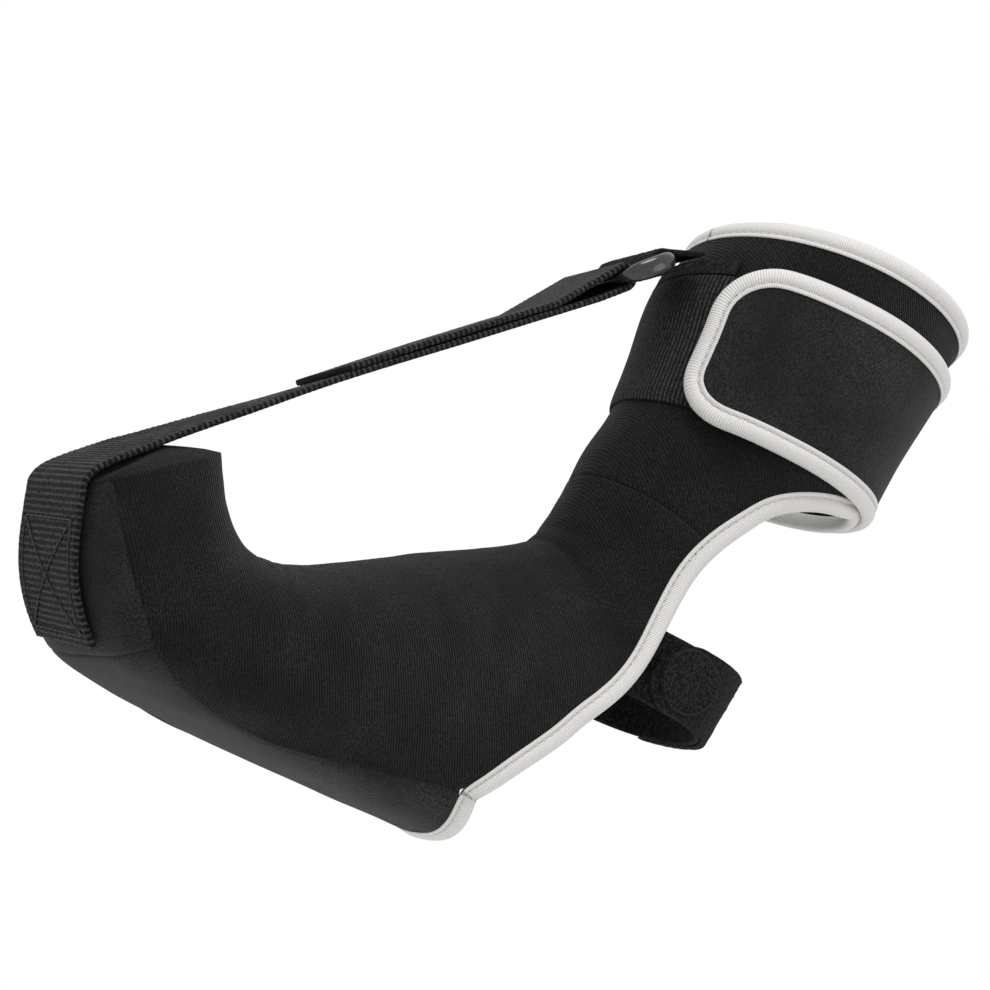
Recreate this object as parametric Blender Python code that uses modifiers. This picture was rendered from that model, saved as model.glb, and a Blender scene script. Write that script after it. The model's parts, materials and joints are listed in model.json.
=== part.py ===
"""Night splint for the sole of the foot: a knitted foot sleeve with an open heel, a sole panel that
turns up under the toes, an ankle panel and a cuff round the leg, closed by a bound outer flap. A
ribbed strap runs from under the toes to a moulded ring at the shin, and a narrow strap goes round
the heel. Metres, +Z up along the leg, toes toward -Y, the closing side toward +X. The origin lies
under the leg, on the level of the sole's inner face, where the wearer's heel stands."""
import math

import bmesh
import bpy
import numpy as np

# Driving sizes of the form that the cloth takes (outer faces)
LEG_FRONT = 0.042
FOOT_FORWARD = 0.177
FOOT_HEIGHT = 0.100
FOOT_HALF_WIDTH = 0.0455
ANKLE_HALF_WIDTH = 0.036
LEG_DEPTH = 0.102
LEG_RISE = 0.120
LEG_HALF_WIDTH = 0.0515
CUFF_SLANT = 0.0065

# Cloth, seams and bindings
CLOTH = 0.0025
SEAM_GAP = 0.0006
CLEARANCE = 0.0003
BINDING_WIDTH = 0.0068
BINDING_THICKNESS = 0.0040
FLAP_LIFT = 0.0012
FLAP_RISE = 0.0019
LOOP_BAND_THICKNESS = 0.0013

# Straps and their fittings
STRAP_WIDTH = 0.042
STRAP_THICKNESS = 0.0022
RETURN_LENGTH = 0.098
STRAP_SEWN_FROM = 2.45
STRAP_CORNER = 0.12
STRAP_BULGE = 0.0013
# How far the toe strap is turned about its own length
STRAP_TWISTS = (
    # share of the straight run, degrees
    (-0.10, 5.0), (0.00, 1.0), (0.20, -2.4), (0.35, -5.0), (0.70, -4.8), (1.00, -4.4),
)
# Where the toe strap bends over the toes' end: lengths back from its lower corner and out from it
STRAP_TURN = (
    # back, out
    (-0.0010, 0.0025),
    (0.0062, 0.0056),
    (0.0273, 0.0080),
)
RING_AHEAD = 0.0593
RING_HEIGHT = 0.1985
RING_LENGTH = 0.058
RING_BREADTH = 0.0225
RING_BAR = 0.0046
TAB_THICKNESS = 0.0015
HEEL_STRAP_WIDTH = 0.026
HEEL_STRAP_THICKNESS = 0.0020
HEEL_STRAP_HEIGHT = 0.0757
HEEL_STRAP_SLOPE = -0.04
HEEL_STRAP_TILT = 0.20
HEEL_STRAP_REACH = 0.0335
HEEL_LEAN = 0.0025
HEEL_LEAN_FROM = 0.002
HEEL_LEAN_LENGTH = 0.020
PATCH_DIAMETER = 0.0230
PATCH_BACK = 0.0048
PATCH_THICKNESS = 0.0012

# Sections of the form. A section is a closed loop between a top point and a low point.
# Foot: lengths ahead of the leg's front line as shares of FOOT_FORWARD, heights of FOOT_HEIGHT,
# half widths of FOOT_HALF_WIDTH. Fullness 2 is an ellipse, more is squarer.
FOOT_SECTIONS = (
    # name, top ahead, top height, low ahead, low height, half width, upper fullness, lower fullness
    ("toe_end", 0.766, 0.765, 0.985, 0.470, 0.680, 3.0, 3.4),
    ("toe_middle", 0.722, 0.620, 0.941, 0.240, 0.813, 2.8, 3.4),
    ("toe_root", 0.666, 0.535, 0.884, 0.085, 0.923, 2.5, 3.4),
    ("toe_fold", 0.592, 0.528, 0.818, -0.005, 0.978, 2.4, 3.4),
    ("ball", 0.503, 0.575, 0.695, -0.038, 1.000, 2.3, 3.4),
    ("forefoot", 0.395, 0.673, 0.497, -0.055, 0.967, 2.2, 3.4),
    ("midfoot", 0.271, 0.800, 0.299, -0.055, 0.900, 2.1, 3.2),
    ("arch", 0.158, 0.910, 0.113, -0.050, 0.835, 2.1, 3.0),
    ("sole_end", 0.102, 0.965, 0.000, -0.040, 0.802, 2.1, 3.0),
)
# Ankle: lengths back from the origin as shares of LEG_DEPTH, heights of FOOT_HEIGHT, half widths
# of ANKLE_HALF_WIDTH.
ANKLE_SECTIONS = (
    # name, top back, top height, low back, low height, half width, upper fullness, lower fullness
    ("heel_front", -0.520, 1.010, -0.050, 0.000, 1.000, 2.1, 2.4),
    ("heel_middle", -0.485, 1.050, 0.275, 0.220, 0.986, 2.1, 2.2),
    ("heel_back", -0.456, 1.130, 0.430, 0.700, 1.000, 2.0, 2.0),
)
# Leg: lengths back as shares of LEG_DEPTH, heights above the ankle as shares of LEG_RISE, half
# widths of LEG_HALF_WIDTH.
LEG_SECTIONS = (
    # name, front back, front rise, rear back, rear rise, half width, front fullness, rear fullness
    ("ankle_seam", -0.424, 0.108, 0.490, 0.000, 0.738, 2.0, 2.0),
    ("ankle_middle", -0.402, 0.242, 0.559, 0.225, 0.796, 2.0, 2.0),
    ("cuff_seam", -0.345, 0.412, 0.600, 0.408, 0.874, 2.0, 2.0),
    ("leg_middle", -0.332, 0.592, 0.632, 0.592, 0.932, 2.0, 2.0),
    ("leg_high", -0.336, 0.792, 0.690, 0.792, 0.971, 2.0, 2.0),
    ("cuff_top", -0.265, 1.020, 0.745, 0.983, 1.000, 2.0, 2.0),
)
ANKLE_LEVEL = 1.130

# Stations count the sections from the toes, and an angle goes round each from its top or front
# through the near side. Where the foot sleeve meets the sole panel:
SOLE_SEAM = (
    # station, angle
    (0.00, 132.0), (0.80, 121.0), (1.30, 118.5), (1.95, 119.0), (2.45, 122.0), (2.90, 127.0),
    (3.40, 134.0), (3.80, 142.0), (4.30, 149.0), (4.85, 151.0), (5.25, 145.0), (5.75, 137.0),
    (6.25, 130.0), (6.70, 127.0), (7.10, 126.0),
)
# The cloth's edge round the open heel:
HEEL_EDGE = (
    # station, angle
    (7.10, 126.0), (7.69, 110.0), (8.19, 99.0), (9.00, 87.0), (9.69, 80.0), (10.19, 76.0),
    (10.75, 72.0), (11.44, 70.0), (12.12, 74.0), (12.69, 80.0), (13.19, 87.0), (13.50, 98.0),
    (13.75, 114.0), (13.90, 130.0),
)
SEAM_STATIONS = (0.0, 0.4, 0.9, 1.4, 1.9, 2.4, 2.8, 2.9, 3.0, 3.4, 3.8, 4.3, 4.8, 5.3, 5.8, 6.3, 6.8, 7.1)
TOE_FOLD = 2.9
TOE_WALL_CORNER = 156.0
TOE_WALL_DOME = 0.0066
TOE_WALL_CREST = 0.4
TOE_WALL_STEEPNESS = 0.85
TOE_WALL_SHARES = (1.0, 0.7, 0.4, 0.22, 0.08)
SOLE_END = 7.10
SOLE_END_BULGE = 0.50
SOLE_END_PEAK = 191.0
HEEL_CORNER_ROUNDING = 8
ANKLE_SEAM_FRONT = 12.35
ANKLE_SEAM_DROP = 0.35
ANKLE_SEAM_SIDE = 73.0
CUFF_SEAM = 14.0
CUFF_EDGE = 16.72
LOOP_BAND_FAR = -74.0
LOOP_BAND_NEAR = 50.0
LOOP_BAND_LOW = 14.02
LOOP_BAND_HIGH = 16.06
TAB_STRIP_HIGH = 16.30
TAB_ROOT = 0.12
# The flap's cloth: stations of its lower and upper edge, angles of its front end and its root
FLAP_LOW = 14.11
FLAP_HIGH = 15.99
FLAP_FRONT = 34.5
FLAP_ROOT = 214.0
FLAP_CORNER = 0.50
FLAP_CORNER_DEGREES = 16.0

MATERIALS = {
    # name: colour, roughness
    "knit": ((0.018, 0.018, 0.020), 0.85),
    "smooth_knit": ((0.026, 0.026, 0.028), 0.75),
    "webbing": ((0.040, 0.040, 0.042), 0.80),
    "loop_pile": ((0.018, 0.018, 0.019), 0.95),
    "binding": ((0.64, 0.63, 0.61), 0.50),
    "moulded": ((0.020, 0.020, 0.021), 0.18),
}


def start_scene():
    """Removes what the scene holds and returns the collection for the parts."""
    for item in list(bpy.data.objects):
        bpy.data.objects.remove(item, do_unlink=True)
    collection = bpy.data.collections.new("night_splint")
    bpy.context.scene.collection.children.link(collection)
    return collection


def make_materials():
    materials = {}
    for name, (colour, roughness) in MATERIALS.items():
        material = bpy.data.materials.new(name)
        material.use_nodes = True
        shader = material.node_tree.nodes["Principled BSDF"]
        shader.inputs["Base Color"].default_value = (*colour, 1.0)
        shader.inputs["Roughness"].default_value = roughness
        materials[name] = material
    return materials


def section_values():
    """The sections in metres: top y and z, low y and z, half width and both fullnesses."""
    rows = []
    for _, top, top_up, low, low_up, half, upper, lower in FOOT_SECTIONS:
        rows.append((-LEG_FRONT - top * FOOT_FORWARD, top_up * FOOT_HEIGHT,
                     -LEG_FRONT - low * FOOT_FORWARD, low_up * FOOT_HEIGHT,
                     half * FOOT_HALF_WIDTH, upper, lower))
    for _, top, top_up, low, low_up, half, upper, lower in ANKLE_SECTIONS:
        rows.append((top * LEG_DEPTH, top_up * FOOT_HEIGHT, low * LEG_DEPTH, low_up * FOOT_HEIGHT,
                     half * ANKLE_HALF_WIDTH, upper, lower))
    level = ANKLE_LEVEL * FOOT_HEIGHT
    for _, top, top_up, low, low_up, half, upper, lower in LEG_SECTIONS:
        rows.append((top * LEG_DEPTH, level + top_up * LEG_RISE, low * LEG_DEPTH,
                     level + low_up * LEG_RISE, half * LEG_HALF_WIDTH, upper, lower))
    return np.array(rows)


SECTIONS = section_values()
LAST = len(SECTIONS) - 1


def section_at(station):
    """The section's values at any station, on a smooth curve through the rows."""
    station = min(max(station, 0.0), float(LAST))
    row = min(int(station), LAST - 1)
    t = station - row
    here, ahead = SECTIONS[row], SECTIONS[row + 1]
    before = SECTIONS[row - 1] if row > 0 else 2 * here - ahead
    after = SECTIONS[row + 2] if row + 2 <= LAST else 2 * ahead - here
    return 0.5 * (2 * here + (ahead - before) * t + (2 * before - 5 * here + 4 * ahead - after) * t ** 2
                  + (3 * here - before - 3 * ahead + after) * t ** 3)


def form_point(station, angle):
    """A point of the form's outer face."""
    top_y, top_z, low_y, low_z, half, upper, lower = section_at(station)
    turn = math.radians(angle)
    along, aside = math.cos(turn), math.sin(turn)
    power = 2 / (upper if along >= 0 else lower)
    middle = np.array([0.0, (top_y + low_y) / 2, (top_z + low_z) / 2])
    reach = np.array([0.0, (top_y - low_y) / 2, (top_z - low_z) / 2])
    side = math.copysign(abs(aside) ** power, aside)
    above_seam = min(max((station - CUFF_SEAM) / (LAST - CUFF_SEAM), 0.0), 1.0)
    sideways = np.array([side * half, 0.0, side * CUFF_SLANT * above_seam])
    return middle + math.copysign(abs(along) ** power, along) * reach + sideways


def form_normal(station, angle):
    """The outward normal of the form's outer face."""
    step = 0.02
    forward = form_point(min(station + step, LAST), angle) - form_point(max(station - step, 0.0), angle)
    around = form_point(station, angle + 1.0) - form_point(station, angle - 1.0)
    normal = np.cross(around, forward)
    return normal / np.linalg.norm(normal)


def lifted(station, angle, lift):
    return form_point(station, angle) + lift * form_normal(station, angle)


def angle_for(station, angle, distance):
    """How many degrees cover a distance round the section."""
    around = form_point(station, angle + 0.5) - form_point(station, angle - 0.5)
    return distance / np.linalg.norm(around)


def station_for(station, angle, distance):
    """How much of a station covers a distance along the form."""
    step = 0.05
    along = form_point(station + step, angle) - form_point(station - step, angle)
    return 2 * step * distance / np.linalg.norm(along)


def read_table(rows, position):
    """A smooth reading of a table of (position, value) rows."""
    places = [row[0] for row in rows]
    values = [row[1] for row in rows]
    position = min(max(position, places[0]), places[-1])
    row = max(0, min(int(np.searchsorted(places, position, side="right")) - 1, len(places) - 2))
    slopes = np.gradient(np.array(values), np.array(places))
    span = places[row + 1] - places[row]
    t = (position - places[row]) / span
    rise = 3 * t ** 2 - 2 * t ** 3
    return ((1 - rise) * values[row] + rise * values[row + 1]
            + span * ((t ** 3 - 2 * t ** 2 + t) * slopes[row] + (t ** 3 - t ** 2) * slopes[row + 1]))


def resampled(points, count, closed=False):
    """The same path in equal steps. Columns after the third are carried along."""
    points = np.array(points)
    if closed:
        points = np.vstack([points, points[:1]])
    steps = np.linalg.norm(np.diff(points[:, :3], axis=0), axis=1)
    reach = np.concatenate([[0.0], np.cumsum(steps)])
    places = np.linspace(0.0, reach[-1], count + 1 if closed else count)
    if closed:
        places = places[:-1]
    return np.stack([np.interp(places, reach, points[:, axis]) for axis in range(points.shape[1])], axis=1)


def smooth_path(points, steps=8):
    """A smooth curve through a few points."""
    points = [np.array(point, float) for point in points]
    padded = [2 * points[0] - points[1]] + points + [2 * points[-1] - points[-2]]
    path = []
    for row in range(1, len(padded) - 2):
        before, here, ahead, after = padded[row - 1:row + 3]
        for step in range(steps):
            t = step / steps
            path.append(0.5 * (2 * here + (ahead - before) * t
                               + (2 * before - 5 * here + 4 * ahead - after) * t ** 2
                               + (3 * here - before - 3 * ahead + after) * t ** 3))
    path.append(points[-1])
    return np.array(path)


def add_object(collection, name, vertices, faces, material, smooth=True):
    """A new named object from vertices and faces, with its normals made consistent."""
    mesh = bpy.data.meshes.new(name)
    mesh.from_pydata([tuple(vertex) for vertex in vertices], [], faces)
    mesh.materials.append(material)
    mesh.update()
    if smooth:
        mesh.shade_smooth()
        mesh.set_sharp_from_angle(angle=math.radians(40))
    made = bpy.data.objects.new(name, mesh)
    collection.objects.link(made)
    return made


def add_shell(collection, name, grid, thickness, material, closed=False):
    """A sheet of cloth: an open grid of rows on its outer face, with Solidify giving the wall.
    Rows run from the toes toward the leg's top, and columns from the far side to the near one."""
    rows, columns = len(grid), len(grid[0])
    vertices = [point for row in grid for point in row]
    faces = []
    for row in range(rows - 1):
        for column in range(columns if closed else columns - 1):
            following = (column + 1) % columns
            faces.append((row * columns + column, row * columns + following,
                          (row + 1) * columns + following, (row + 1) * columns + column))
    made = add_object(collection, name, vertices, faces, material)
    wall = made.modifiers.new("wall", "SOLIDIFY")
    wall.thickness = thickness
    wall.offset = -1.0
    wall.use_even_offset = True
    wall.use_rim = True
    return made


def section_ring(half_width, half_height, sides, roundness=2.6):
    """Points round a flattened bar's section, across and up."""
    ring = []
    for side in range(sides):
        turn = 2 * math.pi * (side + 0.5) / sides
        across, up = math.cos(turn), math.sin(turn)
        ring.append((math.copysign(abs(across) ** (2 / roundness), across) * half_width,
                     math.copysign(abs(up) ** (2 / roundness), up) * half_height))
    return ring


def add_band(collection, name, centres, across, up, width, thickness, material, sides=8, closed=False,
             roundness=2.6, smooth=True):
    """A bar or strap lofted along its centres, with its width and thickness directions at each."""
    outline = section_ring(width / 2, thickness / 2, sides, roundness)
    vertices = []
    for centre, side, rise in zip(centres, across, up):
        for step_across, step_up in outline:
            vertices.append(centre + step_across * side + step_up * rise)
    rows = len(centres)
    faces = []
    for row in range(rows if closed else rows - 1):
        following = (row + 1) % rows
        for side in range(sides):
            beside = (side + 1) % sides
            faces.append((row * sides + side, following * sides + side,
                          following * sides + beside, row * sides + beside))
    if not closed:
        faces.append(tuple(range(sides)))
        faces.append(tuple(reversed(range((rows - 1) * sides, rows * sides))))
    made = add_object(collection, name, vertices, faces, material, smooth)
    set_normals_out(made)
    return made


def set_normals_out(made):
    shape = bmesh.new()
    shape.from_mesh(made.data)
    bmesh.ops.recalc_face_normals(shape, faces=shape.faces)
    if shape.calc_volume(signed=True) < 0:
        bmesh.ops.reverse_faces(shape, faces=shape.faces)
    shape.to_mesh(made.data)
    shape.free()


def path_frames(centres, normals, closed=False):
    """Across and up directions of a band that lies on a surface with these normals."""
    count = len(centres)
    across, up = [], []
    for row in range(count):
        if closed:
            tangent = centres[(row + 1) % count] - centres[row - 1]
        else:
            tangent = centres[min(row + 1, count - 1)] - centres[max(row - 1, 0)]
        tangent = tangent / np.linalg.norm(tangent)
        side = np.cross(tangent, normals[row])
        side = side / np.linalg.norm(side)
        across.append(side)
        up.append(np.cross(side, tangent))
    return across, up


def ankle_seam_station(angle):
    """The ankle seam drops a little from the front toward the sides."""
    return ANKLE_SEAM_FRONT - ANKLE_SEAM_DROP * min(abs(angle) / ANKLE_SEAM_SIDE, 1.2) ** 2


def sleeve_edge(station):
    """Angle of the foot sleeve's edge: the sole's seam first, then the open heel."""
    return read_table(SOLE_SEAM, station) if station <= SOLE_END else read_table(HEEL_EDGE, station)


def fractions_with_close_edges(count, close):
    """Shares from -1 to 1 in equal steps, with one more close to each end, so that a sheet's rim
    stands square to its edge."""
    inner = list(np.linspace(-1.0, 1.0, count + 1))
    return [-1.0, -1.0 + close] + inner[1:-1] + [1.0 - close, 1.0]


def toe_end_point(fraction, share):
    """A point of the wall that closes the toes' end: from the rim (share 0) to its lower side."""
    edge = sleeve_edge(0.0)
    way = math.copysign(1.0, fraction)
    rim = form_point(0.0, fraction * edge)
    low = form_point(0.0, way * (180.0 - (180.0 - TOE_WALL_CORNER) * abs(fraction)))
    point = (1 - share) * rim + share * low
    for sign in (-1.0, 1.0):
        weight = (1 + sign * fraction) / 2
        side = form_point(0.0, sign * (edge + share * (TOE_WALL_CORNER - edge)))
        straight = (1 - share) * form_point(0.0, sign * edge) + share * form_point(0.0, sign * TOE_WALL_CORNER)
        point = point + weight * (side - straight)
    forward = form_point(0.0, 0.0) - form_point(0.6, 0.0)
    rise = min(share / TOE_WALL_CREST, 1.0) ** 0.8 * min((1 - share) / (1 - TOE_WALL_CREST), 1.0)
    dome = TOE_WALL_DOME * rise * (1 - fraction ** 2)
    return point + dome * forward / np.linalg.norm(forward)


def make_foot_sleeve(collection, materials):
    fractions = fractions_with_close_edges(14, 0.03)
    ankle_rows = 13
    grid = [[toe_end_point(fraction, share) for fraction in fractions] for share in TOE_WALL_SHARES]
    for station in SEAM_STATIONS:
        grid.append([form_point(station, fraction * sleeve_edge(station)) for fraction in fractions])
    for row in range(1, ankle_rows + 1):
        line = []
        for fraction in fractions:
            end = ankle_seam_station(fraction * ANKLE_SEAM_SIDE)
            end -= station_for(end, 0.0, SEAM_GAP / 2)
            station = SOLE_END + (end - SOLE_END) * row / ankle_rows
            line.append(form_point(station, fraction * sleeve_edge(station)))
        grid.append(line)
    return add_shell(collection, "foot_sleeve", grid, CLOTH, materials["knit"])


def sole_end_station(angle):
    """The sole panel ends a little further back in its middle than at its seams."""
    edge = SOLE_SEAM[-1][1]
    reach = SOLE_END_PEAK - edge if angle < SOLE_END_PEAK else 360.0 - edge - SOLE_END_PEAK
    return SOLE_END + SOLE_END_BULGE * max(1 - abs(SOLE_END_PEAK - angle) / reach, 0.0) ** 0.9


def sole_grid(stations, bulge):
    """Rows of the cloth between the two seams, the last rows bulged toward the heel."""
    fractions = fractions_with_close_edges(10, 0.03)
    rough_edge = SOLE_SEAM[-1][1]
    first = stations[0]
    grid = []
    for station in stations:
        line = []
        edge = read_table(SOLE_SEAM, station)
        edge += angle_for(station, edge, SEAM_GAP)
        for fraction in fractions:
            share = (station - first) / (SOLE_END - first)
            end = sole_end_station(180.0 + fraction * (180.0 - rough_edge)) - SOLE_END
            line.append(form_point(station + bulge * share * end, 180.0 + fraction * (180.0 - edge)))
        grid.append(line)
    return grid


def make_toe_panel(collection, materials):
    # Its top end stops under the wall that closes the toes' end
    start = station_for(0.2, 180.0, TOE_WALL_STEEPNESS * CLOTH + SEAM_GAP)
    end = TOE_FOLD - station_for(TOE_FOLD, 180.0, SEAM_GAP / 2)
    stations = [start] + [station for station in SEAM_STATIONS if start + 0.1 < station < TOE_FOLD - 0.01]
    return add_shell(collection, "toe_panel", sole_grid(stations + [end], 0.0), CLOTH, materials["smooth_knit"])


def make_sole_panel(collection, materials):
    start = TOE_FOLD + station_for(TOE_FOLD, 180.0, SEAM_GAP / 2)
    stations = [start] + [station for station in SEAM_STATIONS if station > TOE_FOLD + 0.01]
    return add_shell(collection, "sole_panel", sole_grid(stations, 1.0), CLOTH, materials["smooth_knit"])


def make_ankle_panel(collection, materials):
    rows, columns = 9, 22
    grid = []
    for row in range(rows + 1):
        line = []
        for column in range(columns + 1):
            fraction = 2 * column / columns - 1
            start = ankle_seam_station(fraction * ANKLE_SEAM_SIDE)
            start += station_for(start, 0.0, SEAM_GAP / 2)
            end = CUFF_SEAM - station_for(CUFF_SEAM, 0.0, SEAM_GAP / 2)
            station = start + (end - start) * row / rows
            line.append(form_point(station, fraction * read_table(HEEL_EDGE, station)))
        grid.append(line)
    return add_shell(collection, "ankle_panel", grid, CLOTH, materials["knit"])


def make_cuff(collection, materials):
    rows, columns = 6, 32
    start = CUFF_SEAM + station_for(CUFF_SEAM, 0.0, SEAM_GAP / 2)
    grid = []
    for row in range(rows + 1):
        station = start + (CUFF_EDGE - start) * row / rows
        grid.append([form_point(station, 360.0 * column / columns) for column in range(columns)])
    return add_shell(collection, "cuff", grid, CLOTH, materials["knit"], closed=True)


def shin_angle(station, half_width):
    """Angle at which the front of the leg is a given distance from its middle line."""
    half = section_at(station)[4]
    return math.degrees(math.asin(min(half_width / half, 0.95)))


def make_loop_band(collection, materials):
    """Ribbed webbing laid level round the front of the cuff, for the flap's hooks. Its near end
    lies under the flap's front."""
    rows, columns = 5, 20
    lift = 2 * CLEARANCE + LOOP_BAND_THICKNESS
    grid = []
    for row in range(rows + 1):
        station = LOOP_BAND_LOW + (LOOP_BAND_HIGH - LOOP_BAND_LOW) * row / rows
        grid.append([lifted(station, LOOP_BAND_FAR + (LOOP_BAND_NEAR - LOOP_BAND_FAR) * column / columns, lift)
                     for column in range(columns + 1)])
    return add_shell(collection, "loop_band", grid, LOOP_BAND_THICKNESS, materials["webbing"])


def flap_outline_station(angle, edge):
    """Station of the flap's cloth edge, low or high, rounded toward its front end."""
    middle = (FLAP_LOW + FLAP_HIGH) / 2
    half = (FLAP_HIGH - FLAP_LOW) / 2
    ahead = max(0.0, FLAP_FRONT + FLAP_CORNER_DEGREES - angle) / FLAP_CORNER_DEGREES
    inset = FLAP_CORNER * (1 - math.sqrt(max(0.0, 1 - min(ahead, 1.0) ** 2)))
    return middle + edge * (half - inset)


def flap_angles(count):
    """Columns of the flap, closer together round its front corners."""
    front = [FLAP_FRONT + FLAP_CORNER_DEGREES * (1 - math.cos(math.pi / 2 * step / 5)) for step in range(5)]
    rest = list(np.linspace(FLAP_FRONT + FLAP_CORNER_DEGREES, FLAP_ROOT, count))
    return front + rest


def flap_lift(angle):
    """Height of the flap's outer face over the cuff: it rides over the loop band at its front."""
    away = min(max((angle - LOOP_BAND_NEAR - 4.0) / 26.0, 0.0), 1.0)
    return FLAP_LIFT + CLOTH + FLAP_RISE * (1 - away * away * (3 - 2 * away))


def make_closure_flap(collection, materials):
    rows = 6
    angles = flap_angles(20)
    grid = []
    for row in range(rows + 1):
        line = []
        for angle in angles:
            low = flap_outline_station(angle, -1)
            high = flap_outline_station(angle, 1)
            line.append(lifted(low + (high - low) * row / rows, angle, flap_lift(angle)))
        grid.append(line)
    return add_shell(collection, "closure_flap", grid, CLOTH, materials["smooth_knit"])


def binding_path(edge_points, inner_points, normals, depth, closed=False):
    """Centres of a binding that lies just past a cloth edge, in the cloth's middle plane."""
    reach = BINDING_WIDTH / 2 + SEAM_GAP
    count = len(edge_points)
    centres = []
    for row in range(count):
        if closed:
            tangent = edge_points[(row + 1) % count] - edge_points[row - 1]
        else:
            tangent = edge_points[min(row + 1, count - 1)] - edge_points[max(row - 1, 0)]
        outward = np.cross(tangent, normals[row])
        outward = outward / np.linalg.norm(outward)
        if np.dot(outward, edge_points[row] - inner_points[row]) < 0:
            outward = -outward
        centres.append(edge_points[row] + reach * outward - depth * normals[row])
    return np.array(centres)


def add_binding(collection, name, edge_points, inner_points, normals, material, count, closed=False,
                rounding=0):
    """A bar along a cloth edge. Rounding passes over its path take off the edge's corners."""
    fine = resampled(np.hstack([edge_points, inner_points, normals]), 4 * count, closed)
    edges, inners, ups = fine[:, 0:3], fine[:, 3:6], fine[:, 6:9]
    centres = binding_path(edges, inners, ups, CLOTH / 2, closed)
    for _ in range(rounding):
        centres = (np.roll(centres, 1, axis=0) + 2 * centres + np.roll(centres, -1, axis=0)) / 4
    placed = resampled(np.hstack([centres, ups]), count, closed)
    across, up = path_frames(placed[:, :3], placed[:, 3:], closed)
    return add_band(collection, name, placed[:, :3], across, up, BINDING_WIDTH, BINDING_THICKNESS, material,
                    closed=closed)


def make_cuff_binding(collection, materials):
    angles = [360.0 * step / 72 for step in range(72)]
    edges = [form_point(CUFF_EDGE, angle) for angle in angles]
    inners = [form_point(CUFF_EDGE - 0.05, angle) for angle in angles]
    normals = [form_normal(CUFF_EDGE, angle) for angle in angles]
    return add_binding(collection, "cuff_binding", edges, inners, normals, materials["binding"], 40, closed=True)


def heel_edge_line():
    """The open heel's edge from the near end of the sole, up round the back, down the far side and
    back along the sole's end: station and angle of each point, with a point just inside the cloth."""
    line = []
    for station in np.linspace(HEEL_EDGE[0][0], HEEL_EDGE[-1][0], 60):
        angle = read_table(HEEL_EDGE, station)
        line.append((station, angle, station, angle - 2.0))
    last_angle = HEEL_EDGE[-1][1]
    for angle in np.linspace(last_angle + 6.0, 180.0, 14):
        line.append((CUFF_SEAM, angle, CUFF_SEAM + 0.1, angle))
    back = [(station, 360.0 - angle, inner, 360.0 - inner_angle)
            for station, angle, inner, inner_angle in reversed(line[:-1])]
    first_angle = HEEL_EDGE[0][1]
    sole_end = [(sole_end_station(angle), angle, sole_end_station(angle) - 0.1, angle)
                for angle in np.linspace(360.0 - first_angle, first_angle, 42)[1:-1]]
    return line + back + sole_end


def make_heel_edge_binding(collection, materials):
    line = heel_edge_line()
    edges = [form_point(station, angle) for station, angle, _, _ in line]
    inners = [form_point(station, angle) for _, _, station, angle in line]
    normals = [form_normal(station, angle) for station, angle, _, _ in line]
    return add_binding(collection, "heel_edge_binding", edges, inners, normals, materials["binding"], 76,
                       closed=True, rounding=HEEL_CORNER_ROUNDING)


def make_flap_binding(collection, materials):
    line = []
    angles = flap_angles(30)
    for angle in reversed(angles):
        line.append((flap_outline_station(angle, -1), angle, flap_outline_station(angle, -1) + 0.1, angle))
    front_low = flap_outline_station(FLAP_FRONT, -1)
    front_high = flap_outline_station(FLAP_FRONT, 1)
    for step in range(1, 8):
        station = front_low + (front_high - front_low) * step / 8
        line.append((station, FLAP_FRONT, station, FLAP_FRONT + 3.0))
    for angle in angles:
        line.append((flap_outline_station(angle, 1), angle, flap_outline_station(angle, 1) - 0.1, angle))
    edges = [lifted(station, angle, flap_lift(angle)) for station, angle, _, _ in line]
    inners = [lifted(station, angle, flap_lift(angle)) for _, _, station, angle in line]
    normals = [form_normal(station, angle) for station, angle, _, _ in line]
    return add_binding(collection, "flap_binding", edges, inners, normals, materials["binding"], 66)


def strap_directions(share):
    """Across, along and up of the toe strap at a share of its straight run."""
    along = np.array([0.0, -RING_AHEAD, RING_HEIGHT]) - form_point(0.0, 180.0)
    along = along / np.linalg.norm(along)
    twist = math.radians(read_table(STRAP_TWISTS, share))
    level = np.array([0.0, -along[2], along[1]])
    across = math.cos(twist) * np.array([1.0, 0.0, 0.0]) - math.sin(twist) * level
    return across, along, np.cross(across, along)


def ring_place():
    """The ring's middle, in front of the shin, and its directions across, along and up."""
    return np.array([0.0, -RING_AHEAD, RING_HEIGHT]), *strap_directions(1.0)


def ring_outline(half_long, half_short, count):
    """A long loop in a plane: straight where the strap goes round it, its ends rounded."""
    straight = STRAP_WIDTH / 2 + 2 * CLEARANCE
    end = half_long - straight
    points = []
    for way in (1.0, -1.0):
        for step in range(9):
            turn = way * math.pi / 2 * (step / 4 - 1)
            points.append((way * (straight + end * math.cos(turn)), half_short * math.sin(turn)))
    return resampled(points, count, closed=True)


def make_strap_ring(collection, materials):
    """A flat oval link: a long rounded loop of bar."""
    centre, side, along, up = ring_place()
    outline = ring_outline((RING_LENGTH - RING_BAR) / 2, (RING_BREADTH - RING_BAR) / 2, 34)
    centres = np.array([centre + x * side + y * along for x, y in outline])
    across, ups = path_frames(centres, [up] * len(centres), closed=True)
    return add_band(collection, "strap_ring", centres, across, ups, RING_BAR, RING_BAR * 0.85,
                    materials["moulded"], closed=True, roundness=2.2)


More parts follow.
